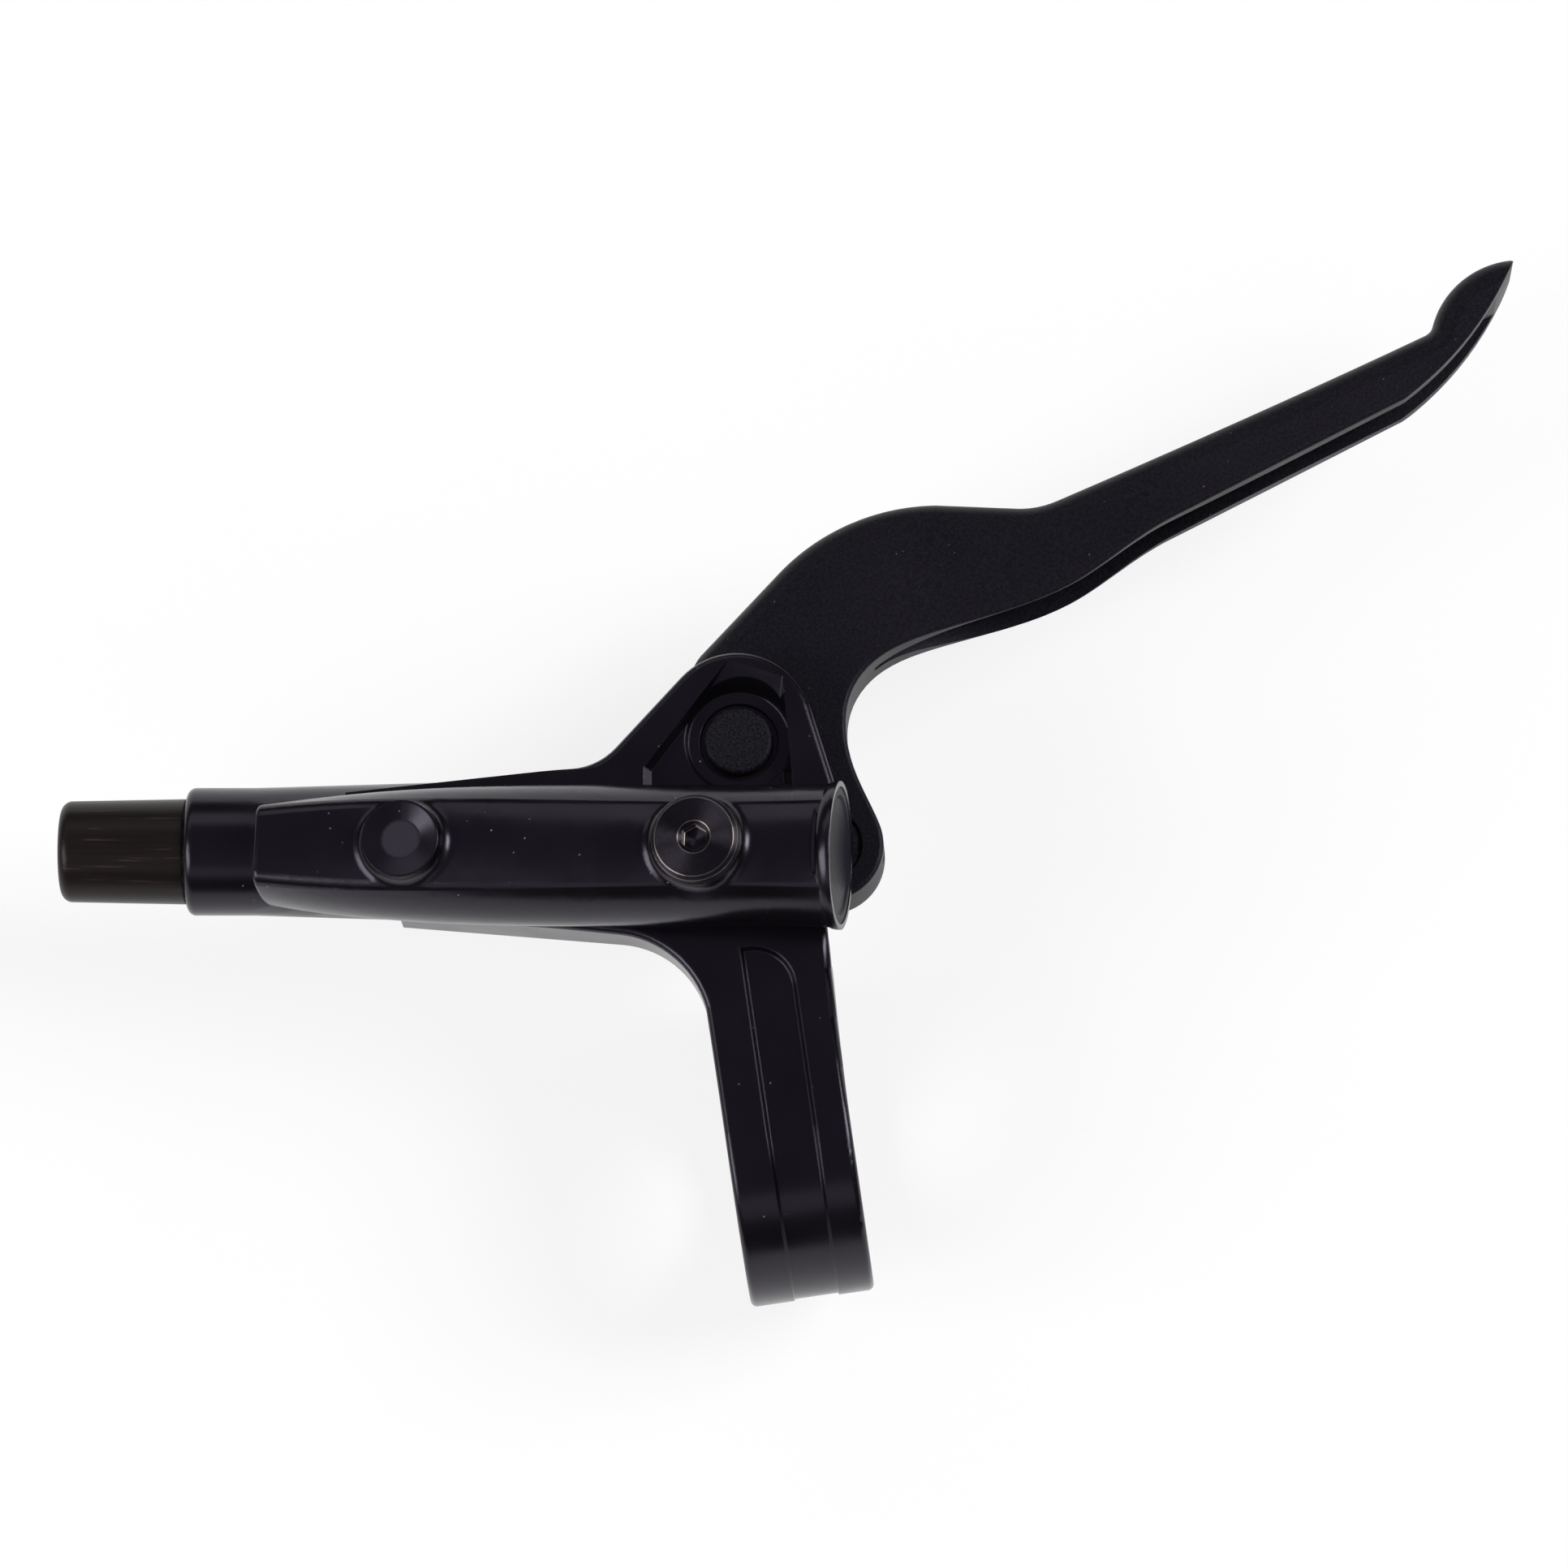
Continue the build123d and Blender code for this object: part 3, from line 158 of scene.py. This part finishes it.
def new_piece(name, form, material, sharp):
    """Makes an object of a bmesh, with its finish, smooth but for edges sharper than an angle in degrees."""
    mesh = bpy.data.meshes.new(name)
    form.to_mesh(mesh)
    form.free()
    mesh.shade_smooth()
    mesh.set_sharp_from_angle(angle=math.radians(sharp))
    mesh.materials.clear()
    mesh.materials.append(material)
    piece = bpy.data.objects.new(name, mesh)
    bpy.context.scene.collection.objects.link(piece)
    return piece


def clamp_screw(material):
    """Socket screw with a knurled head and a cut thread, in place of the plain one."""
    low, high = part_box("clamp_bolt")
    under = low.z + HEAD_HEIGHT
    core = HEAD_RADIUS - KNURL_DEPTH
    root = THREAD_RADIUS - THREAD_DEPTH
    corner = SOCKET_WIDTH / math.sqrt(3)
    form = bmesh.new()
    bmesh.ops.create_cone(
        form, cap_ends=True, segments=2 * KNURL_TEETH, radius1=core, radius2=core, depth=HEAD_HEIGHT,
        matrix=Matrix.Translation((0, 0, low.z + HEAD_HEIGHT / 2)),
    )
    base = min(form.faces, key=lambda face: face.calc_center_median().z)
    bmesh.ops.bevel(
        form, geom=list(base.edges), offset=HEAD_ROUND, affect="EDGES", segments=3, profile=0.5, material=-1
    )
    # Every other upright face of the head becomes a tooth of the knurl
    sides = [face for face in form.faces if abs(face.normal.z) < 0.01]
    sides.sort(key=lambda face: math.atan2(face.normal.y, face.normal.x))
    bmesh.ops.inset_individual(form, faces=sides[::2], thickness=KNURL_FLANK, depth=KNURL_DEPTH)
    # The socket: a round mouth that leads down to a hexagon
    base = min(form.faces, key=lambda face: face.calc_center_median().z)
    rim = core - HEAD_ROUND - corner - SOCKET_LEAD
    bmesh.ops.inset_region(form, faces=[base], thickness=rim)
    mouth = list(base.edges)
    bmesh.ops.delete(form, geom=[base], context="FACES_ONLY")
    made = bmesh.ops.create_circle(
        form, cap_ends=True, segments=6, radius=corner, matrix=Matrix.Translation((0, 0, low.z + SOCKET_LEAD))
    )
    hexagon = made["verts"][0].link_faces[0]
    bmesh.ops.bridge_loops(form, edges=mouth + list(hexagon.edges))
    made = bmesh.ops.extrude_face_region(form, geom=[hexagon])
    raised = [item for item in made["geom"] if isinstance(item, bmesh.types.BMVert)]
    bmesh.ops.translate(form, verts=raised, vec=(0, 0, SOCKET_DEPTH))
    # The thread is drawn as rings of its pitch, from the end of the shank into the head
    outline = [(0.0, high.z), (root, high.z)]
    for i in range(int((high.z - under) / THREAD_PITCH)):
        outline.append((THREAD_RADIUS, high.z - (i + 0.5) * THREAD_PITCH))
        outline.append((root, high.z - (i + 1) * THREAD_PITCH))
    outline += [(root, under - HEAD_ROUND), (0.0, under - HEAD_ROUND)]
    points = [form.verts.new((radius, 0, level)) for radius, level in outline]
    lines = [form.edges.new(pair) for pair in zip(points, points[1:])]
    bmesh.ops.spin(
        form, geom=points + lines, cent=(0, 0, 0), axis=(0, 0, 1), angle=math.tau, steps=THREAD_STEPS,
        use_merge=True,
    )
    bmesh.ops.remove_doubles(form, verts=list(form.verts), dist=SAME_POINT)
    bmesh.ops.recalc_face_normals(form, faces=list(form.faces))
    bmesh.ops.translate(form, verts=list(form.verts), vec=((low.x + high.x) / 2, (low.y + high.y) / 2, 0))
    screw = new_piece("clamp_screw", form, material, 32)
    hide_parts("clamp_bolt")
    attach(screw, "body")


def return_coil(material):
    """Return spring between the bore's end and the piston: a smooth-shaded copy of the rigid one's mesh, in its
    place.
    """
    form = bmesh.new()
    form.from_mesh(nodes["return_spring"].data)
    bmesh.ops.remove_doubles(form, verts=list(form.verts), dist=SAME_POINT)
    coil = new_piece("return_coil", form, material, 40)
    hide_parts("return_spring")
    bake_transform(coil)


def specks(tree, where, every, size, share):
    """Mask of soft round specks, one in each cell of a width, fainter and fainter over a share of the cells."""
    cell = add(
        tree, "ShaderNodeTexVoronoi", inputs={"Scale": per(every)}, links={"Vector": (where, "Object")}
    )
    spot = add(
        tree, "ShaderNodeMapRange",
        inputs={"From Min": size / every * 0.5, "From Max": size / every * 0.8, "To Min": 1.0, "To Max": 0.0},
        links={"Value": (cell, "Distance")},
    )
    kept = add(
        tree, "ShaderNodeMapRange",
        inputs={"From Min": share, "From Max": 0.1}, links={"Value": (cell, "Color")},
    )
    return add(tree, "ShaderNodeMath", {"operation": "MULTIPLY"}, links={0: (spot, 0), 1: (kept, 0)})


def gloss_black_paint():
    """Body finish."""
    # Forged aluminium under baked black paint: deep black with a soft lavender gloss, a faint peel in the
    # reflections, hazier patches where hands have been, bright thin edges and a few specks of dust
    material, tree, shader = new_material(
        "forged_aluminium_baked_gloss_black_paint", specular_ior_level=0.42, specular_tint=linear("#f1e7ff"),
    )
    where = add(tree, "ShaderNodeTexCoord")
    haze = add(
        tree, "ShaderNodeTexNoise",
        inputs={"Scale": per(9 * MM), "Detail": 3.0}, links={"Vector": (where, "Object")},
    )
    rough = add(
        tree, "ShaderNodeMapRange",
        inputs={"From Min": 0.3, "From Max": 0.7, "To Min": 0.19, "To Max": 0.28},
        links={"Value": (haze, 0)},
    )
    dust = specks(tree, where, 1.5 * MM, 0.15 * MM, 0.45)
    tone = add(
        tree, "ShaderNodeMix", {"data_type": "RGBA"},
        {6: linear("#070608"), 7: linear("#0c0a0d")}, {0: (haze, 0)},
    )
    colour = add(
        tree, "ShaderNodeMix", {"data_type": "RGBA"}, {7: linear("#78737a")}, {0: (dust, 0), 6: (tone, 2)}
    )
    # The floor of the blank boss is left dull by the tool that faced it, with a soft rim
    away = add(
        tree, "ShaderNodeVectorMath", {"operation": "DISTANCE"}, {1: BLANK_FLOOR}, {0: (where, "Object")}
    )
    dull = add(
        tree, "ShaderNodeMapRange",
        inputs={"From Min": BLANK_FLOOR_RADIUS * 1.05, "From Max": BLANK_FLOOR_RADIUS * 0.85},
        links={"Value": (away, "Value")},
    )
    faced = add(
        tree, "ShaderNodeMix", {"data_type": "RGBA"}, {7: linear("#201e24")}, {0: (dull, 0), 6: (colour, 2)}
    )
    rougher = add(tree, "ShaderNodeMix", inputs={3: 0.6}, links={0: (dull, 0), 2: (rough, 0)})
    peel = add(
        tree, "ShaderNodeTexNoise",
        inputs={"Scale": per(1.6 * MM), "Detail": 1.0}, links={"Vector": (where, "Object")},
    )
    edge = add(tree, "ShaderNodeBevel", {"samples": 4}, {"Radius": 0.22 * MM})
    bump = add(
        tree, "ShaderNodeBump", inputs={"Strength": 0.12, "Distance": 0.02 * MM},
        links={"Height": (peel, 0), "Normal": (edge, 0)},
    )
    tree.links.new(faced.outputs[2], shader.inputs["Base Color"])
    tree.links.new(rougher.outputs[0], shader.inputs["Roughness"])
    tree.links.new(bump.outputs[0], shader.inputs["Normal"])
    return material


def satin_black_paint():
    """Blade finish."""
    # Forged aluminium under a fine satin black paint: an even grain that takes only soft light, slightly
    # blue, with cloudy gloss, a few pale specks and edges that catch a thin line of light
    material, tree, shader = new_material(
        "forged_aluminium_fine_satin_black_paint", specular_ior_level=0.22, specular_tint=linear("#ece6ff"),
    )
    where = add(tree, "ShaderNodeTexCoord")
    cloud = add(
        tree, "ShaderNodeTexNoise",
        inputs={"Scale": per(14 * MM), "Detail": 4.0}, links={"Vector": (where, "Object")},
    )
    # The real grain is under 0.1 mm, and is drawn at 0.3 mm so that it shows
    grain = add(
        tree, "ShaderNodeTexNoise",
        inputs={"Scale": per(0.3 * MM), "Detail": 2.0}, links={"Vector": (where, "Object")},
    )
    grit = add(
        tree, "ShaderNodeMapRange", inputs={"From Min": 0.36, "From Max": 0.64}, links={"Value": (grain, 0)}
    )
    rough = add(
        tree, "ShaderNodeMapRange",
        inputs={"From Min": 0.3, "From Max": 0.7, "To Min": 0.4, "To Max": 0.52},
        links={"Value": (cloud, 0)},
    )
    dust = specks(tree, where, 1.1 * MM, 0.13 * MM, 0.4)
    tone = add(
        tree, "ShaderNodeMix", {"data_type": "RGBA"},
        {6: linear("#030304"), 7: linear("#121115")}, {0: (grit, 0)},
    )
    colour = add(
        tree, "ShaderNodeMix", {"data_type": "RGBA"}, {7: linear("#535058")}, {0: (dust, 0), 6: (tone, 2)}
    )
    edge = add(tree, "ShaderNodeBevel", {"samples": 4}, {"Radius": 0.2 * MM})
    bump = add(
        tree, "ShaderNodeBump", inputs={"Strength": 0.7, "Distance": 0.04 * MM},
        links={"Height": (grain, 0), "Normal": (edge, 0)},
    )
    tree.links.new(colour.outputs[2], shader.inputs["Base Color"])
    tree.links.new(rough.outputs[0], shader.inputs["Roughness"])
    tree.links.new(bump.outputs[0], shader.inputs["Normal"])
    return material


def turned_black_steel():
    """Bleed screw finish."""
    # Turned steel with black oxide: the tool's rings spread the light into two opposite sectors
    material, tree, shader = new_material(
        "turned_black_oxide_steel", metallic=1.0, anisotropic=0.9, anisotropic_rotation=0.25,
    )
    where = add(tree, "ShaderNodeTexCoord")
    grain = add(
        tree, "ShaderNodeTexNoise",
        inputs={"Scale": per(0.5 * MM), "Detail": 3.0}, links={"Vector": (where, "Object")},
    )
    rough = add(
        tree, "ShaderNodeMapRange", inputs={"To Min": 0.36, "To Max": 0.46}, links={"Value": (grain, 0)}
    )
    tone = add(
        tree, "ShaderNodeMix", {"data_type": "RGBA"},
        {6: linear("#2c292f"), 7: linear("#38353b")}, {0: (grain, 0)},
    )
    ring = add(tree, "ShaderNodeTangent", {"direction_type": "RADIAL", "axis": "Z"})
    edge = add(tree, "ShaderNodeBevel", {"samples": 4}, {"Radius": 0.15 * MM})
    # Painted highlight: the rims, where the rounded normal leaves the face's own, take the colour of bright
    # bare steel and show as thin bright rings
    face = add(tree, "ShaderNodeNewGeometry")
    rounding = add(
        tree, "ShaderNodeVectorMath", {"operation": "DOT_PRODUCT"}, links={0: (edge, 0), 1: (face, "Normal")}
    )
    painted_rim_highlight = add(
        tree, "ShaderNodeMapRange",
        inputs={"From Min": 0.985, "From Max": 0.91}, links={"Value": (rounding, "Value")},
    )
    # Mixes the painted rim highlight into the black tone
    colour = add(
        tree, "ShaderNodeMix", {"data_type": "RGBA"}, {7: linear("#c4b9b2")}, {0: (painted_rim_highlight, 0), 6: (tone, 2)}
    )
    tree.links.new(colour.outputs[2], shader.inputs["Base Color"])
    tree.links.new(rough.outputs[0], shader.inputs["Roughness"])
    tree.links.new(ring.outputs[0], shader.inputs["Tangent"])
    tree.links.new(edge.outputs[0], shader.inputs["Normal"])
    return material


def phosphated_steel():
    """Finish of the pivot pin, the cross barrel, the clamp screw and its washer."""
    # Phosphated steel, dark and grainy like fine sandpaper, hardly any gloss
    material, tree, shader = new_material(
        "phosphated_black_steel", specular_ior_level=0.15, specular_tint=linear("#efe8ff"),
    )
    where = add(tree, "ShaderNodeTexCoord")
    # Crystals of about 0.1 mm, drawn at 0.25 mm so that they show
    grain = add(
        tree, "ShaderNodeTexNoise",
        inputs={"Scale": per(0.25 * MM), "Detail": 3.0}, links={"Vector": (where, "Object")},
    )
    grit = add(
        tree, "ShaderNodeMapRange", inputs={"From Min": 0.38, "From Max": 0.62}, links={"Value": (grain, 0)}
    )
    tone = add(
        tree, "ShaderNodeMix", {"data_type": "RGBA"},
        {6: linear("#020203"), 7: linear("#1c1b1f")}, {0: (grit, 0)},
    )
    rough = add(
        tree, "ShaderNodeMapRange", inputs={"To Min": 0.45, "To Max": 0.65}, links={"Value": (grain, 0)}
    )
    edge = add(tree, "ShaderNodeBevel", {"samples": 4}, {"Radius": 0.15 * MM})
    bump = add(
        tree, "ShaderNodeBump", inputs={"Strength": 0.4, "Distance": 0.03 * MM},
        links={"Height": (grain, 0), "Normal": (edge, 0)},
    )
    tree.links.new(tone.outputs[2], shader.inputs["Base Color"])
    tree.links.new(rough.outputs[0], shader.inputs["Roughness"])
    tree.links.new(bump.outputs[0], shader.inputs["Normal"])
    return material


def extruded_sleeve():
    """Hose cover finish."""
    # Extruded nylon sleeve: brownish black satin with fine streaks along it and pale scuffs
    material, tree, shader = new_material(
        "extruded_black_nylon_sleeve", specular_ior_level=0.2, specular_tint=linear("#fff0ec"),
    )
    where = add(tree, "ShaderNodeTexCoord")
    along = add(
        tree, "ShaderNodeMapping", {"vector_type": "TEXTURE"},
        {"Rotation": (0, 0, -LEVER_TURN), "Scale": (STREAK_STRETCH, 1, 1)}, {"Vector": (where, "Object")},
    )
    streak = add(
        tree, "ShaderNodeTexNoise",
        inputs={"Scale": per(0.5 * MM), "Detail": 4.0}, links={"Vector": (along, 0)},
    )
    scuff = add(
        tree, "ShaderNodeMapRange", inputs={"From Min": 0.62, "From Max": 0.72}, links={"Value": (streak, 0)}
    )
    tone = add(
        tree, "ShaderNodeMix", {"data_type": "RGBA"},
        {6: linear("#0b0908"), 7: linear("#1d1816")}, {0: (streak, 0)},
    )
    colour = add(
        tree, "ShaderNodeMix", {"data_type": "RGBA"}, {7: linear("#3d342e")}, {0: (scuff, 0), 6: (tone, 2)}
    )
    rough = add(
        tree, "ShaderNodeMapRange", inputs={"To Min": 0.26, "To Max": 0.42}, links={"Value": (streak, 0)}
    )
    edge = add(tree, "ShaderNodeBevel", {"samples": 4}, {"Radius": 0.25 * MM})
    bump = add(
        tree, "ShaderNodeBump", inputs={"Strength": 0.3, "Distance": 0.03 * MM},
        links={"Height": (streak, 0), "Normal": (edge, 0)},
    )
    tree.links.new(colour.outputs[2], shader.inputs["Base Color"])
    tree.links.new(rough.outputs[0], shader.inputs["Roughness"])
    tree.links.new(bump.outputs[0], shader.inputs["Normal"])
    return material


def fine_grained(name, dark, light, smooth, rough, cell, **sockets):
    """A plain finish with a grain of a width, which varies its tone, its roughness and its level."""
    material, tree, shader = new_material(name, **sockets)
    where = add(tree, "ShaderNodeTexCoord")
    grain = add(
        tree, "ShaderNodeTexNoise",
        inputs={"Scale": per(cell), "Detail": 3.0}, links={"Vector": (where, "Object")},
    )
    tone = add(
        tree, "ShaderNodeMix", {"data_type": "RGBA"}, {6: linear(dark), 7: linear(light)}, {0: (grain, 0)}
    )
    haze = add(
        tree, "ShaderNodeMapRange", inputs={"To Min": smooth, "To Max": rough}, links={"Value": (grain, 0)}
    )
    edge = add(tree, "ShaderNodeBevel", {"samples": 4}, {"Radius": 0.12 * MM})
    bump = add(
        tree, "ShaderNodeBump", inputs={"Strength": 0.15, "Distance": 0.02 * MM},
        links={"Height": (grain, 0), "Normal": (edge, 0)},
    )
    tree.links.new(tone.outputs[2], shader.inputs["Base Color"])
    tree.links.new(haze.outputs[0], shader.inputs["Roughness"])
    tree.links.new(bump.outputs[0], shader.inputs["Normal"])
    return material


def finishes():
    """Dresses every CAD node, and adds the pieces that stand for two of them."""
    dress(gloss_black_paint(), "lever_body")
    dress(satin_black_paint(), "lever_blade")
    dress(turned_black_steel(), "bleed_screw")
    black_steel = phosphated_steel()
    dress(black_steel, "pivot_pin", "clamp_bolt", "clamp_washer", "push_rod_barrel")
    clamp_screw(black_steel)
    dress(extruded_sleeve(), "hose_cover")
    # Injection-moulded acetal, an even satin black with a hint of violet
    acetal = fine_grained(
        "moulded_black_acetal", "#14121a", "#1f1c28", 0.34, 0.48, 0.8 * MM, specular_ior_level=0.07,
    )
    dress(acetal, "reservoir_cap", "pivot_bush_upper", "pivot_bush_lower")
    # Bright zinc on steel: a slightly blue white metal with a fine spangle
    zinc = fine_grained("zinc_plated_steel", "#9a9ca0", "#c4c6ca", 0.22, 0.38, 0.4 * MM, metallic=1.0)
    dress(zinc, "pivot_clip", "push_rod", "stop_washer", "circlip", "hose_nut", "return_spring")
    return_coil(zinc)
    # Turned aluminium, bare and bright
    alloy = fine_grained("turned_aluminium", "#c2c3c6", "#dadbdd", 0.18, 0.3, 0.3 * MM, metallic=1.0)
    dress(alloy, "piston")
    # Moulded nitrile rubber, matt with a bloom of powder
    rubber = fine_grained("moulded_nitrile_rubber", "#0e0e0f", "#1c1c1d", 0.55, 0.75, 0.6 * MM)
    dress(rubber, "primary_cup", "secondary_cup", "dust_boot", "reservoir_bladder", "bleed_o_ring")
    # Turned brass, warm and bright
    brass = fine_grained("turned_brass", "#b08d4a", "#cfae68", 0.2, 0.32, 0.3 * MM, metallic=1.0)
    dress(brass, "olive")


def studio():
    """White table that keeps a soft shadow, in a dim grey room."""
    # Matt white board, lit evenly, with a soft grey shadow round the lever
    material, tree, shader = new_material("white_table", base_color=linear("#ffffff"), roughness=0.9)
    bpy.ops.mesh.primitive_plane_add(size=TABLE_WIDTH, location=(0, 0, cad_low.z - TABLE_GAP))
    table = bpy.context.object
    table.name = "table"
    table.data.materials.append(material)
    path = add(tree, "ShaderNodeLightPath")
    white = add(tree, "ShaderNodeEmission", inputs={"Strength": 1.0})
    seen = add(
        tree, "ShaderNodeMath", {"operation": "MAXIMUM"},
        links={0: (path, "Is Camera Ray"), 1: (path, "Is Glossy Ray")},
    )
    shown = add(
        tree, "ShaderNodeMath", {"operation": "MAXIMUM"},
        links={0: (seen, 0), 1: (path, "Is Transmission Ray")},
    )
    share = add(tree, "ShaderNodeMath", {"operation": "MULTIPLY"}, {1: TABLE_WHITE}, {0: (shown, 0)})
    mix = add(
        tree, "ShaderNodeMixShader", links={0: (share, 0), 1: (shader, "BSDF"), 2: (white, "Emission")}
    )
    tree.links.new(mix.outputs[0], tree.nodes["Material Output"].inputs["Surface"])

    # The room is darkest and slightly warm at the horizon, and a cool grey overhead
    world = bpy.data.worlds.new("studio")
    bpy.context.scene.world = world
    world.use_nodes = True
    tree = world.node_tree
    sky = tree.nodes["Background"]
    where = add(tree, "ShaderNodeTexCoord")
    height = add(tree, "ShaderNodeSeparateXYZ", links={0: (where, "Generated")})
    rise = add(
        tree, "ShaderNodeMapRange", {"interpolation_type": "SMOOTHSTEP"},
        {"From Min": 0.05, "From Max": 0.75}, {"Value": (height, "Z")},
    )
    tint = add(
        tree, "ShaderNodeMix", {"data_type": "RGBA"},
        {6: linear("#342b2c"), 7: linear("#6e6a78")}, {0: (rise, 0)},
    )
    tree.links.new(tint.outputs[2], sky.inputs["Color"])


def softbox(name, place, wide, high, power):
    """A soft lamp, aimed at the lever."""
    lamp = bpy.data.lights.new(name, "AREA")
    lamp.shape = "RECTANGLE"
    lamp.size = wide
    lamp.size_y = high
    lamp.energy = power
    holder = bpy.data.objects.new(name, lamp)
    bpy.context.scene.collection.objects.link(holder)
    holder.location = Vector(place)
    holder.rotation_euler = (LAMP_AIM - Vector(place)).to_track_quat("-Z", "Y").to_euler()


def camera():
    """The photograph's camera."""
    turn = Matrix.Rotation(-LEVER_TURN, 3, "Z")
    back = turn @ Vector((math.tan(LEAN_SIDEWAYS), -math.tan(LEAN_TO_RIDER), 1.0)).normalized()
    along_tube = turn @ Vector((1, 0, 0))
    right = (along_tube - along_tube.dot(back) * back).normalized()
    up = back.cross(right)
    data = bpy.data.cameras.new("camera")
    data.sensor_width = SENSOR_WIDTH
    data.lens = SENSOR_WIDTH * CAMERA_DISTANCE / IMAGE_WIDTH_AT_LEVER
    data.clip_end = CAMERA_REACH
    holder = bpy.data.objects.new("camera", data)
    bpy.context.scene.collection.objects.link(holder)
    place = Matrix((right, up, back)).transposed().to_4x4()
    place.translation = CAMERA_TARGET + back * CAMERA_DISTANCE
    holder.matrix_world = place
    bpy.context.scene.camera = holder


finishes()
studio()
softbox("inner_side", (-1.15, -0.25, 0.95), 1.0, 0.8, 14.5)
softbox("outer_side", (1.0, 0.15, 1.05), 0.6, 0.6, 14.0)
softbox("front", (-0.3, 1.2, 1.0), 1.4, 0.6, 2.0)
softbox("rider", (-0.2, -1.05, 0.95), 1.3, 0.45, 0.9)
camera()
bpy.context.scene.view_settings.view_transform = "Standard"
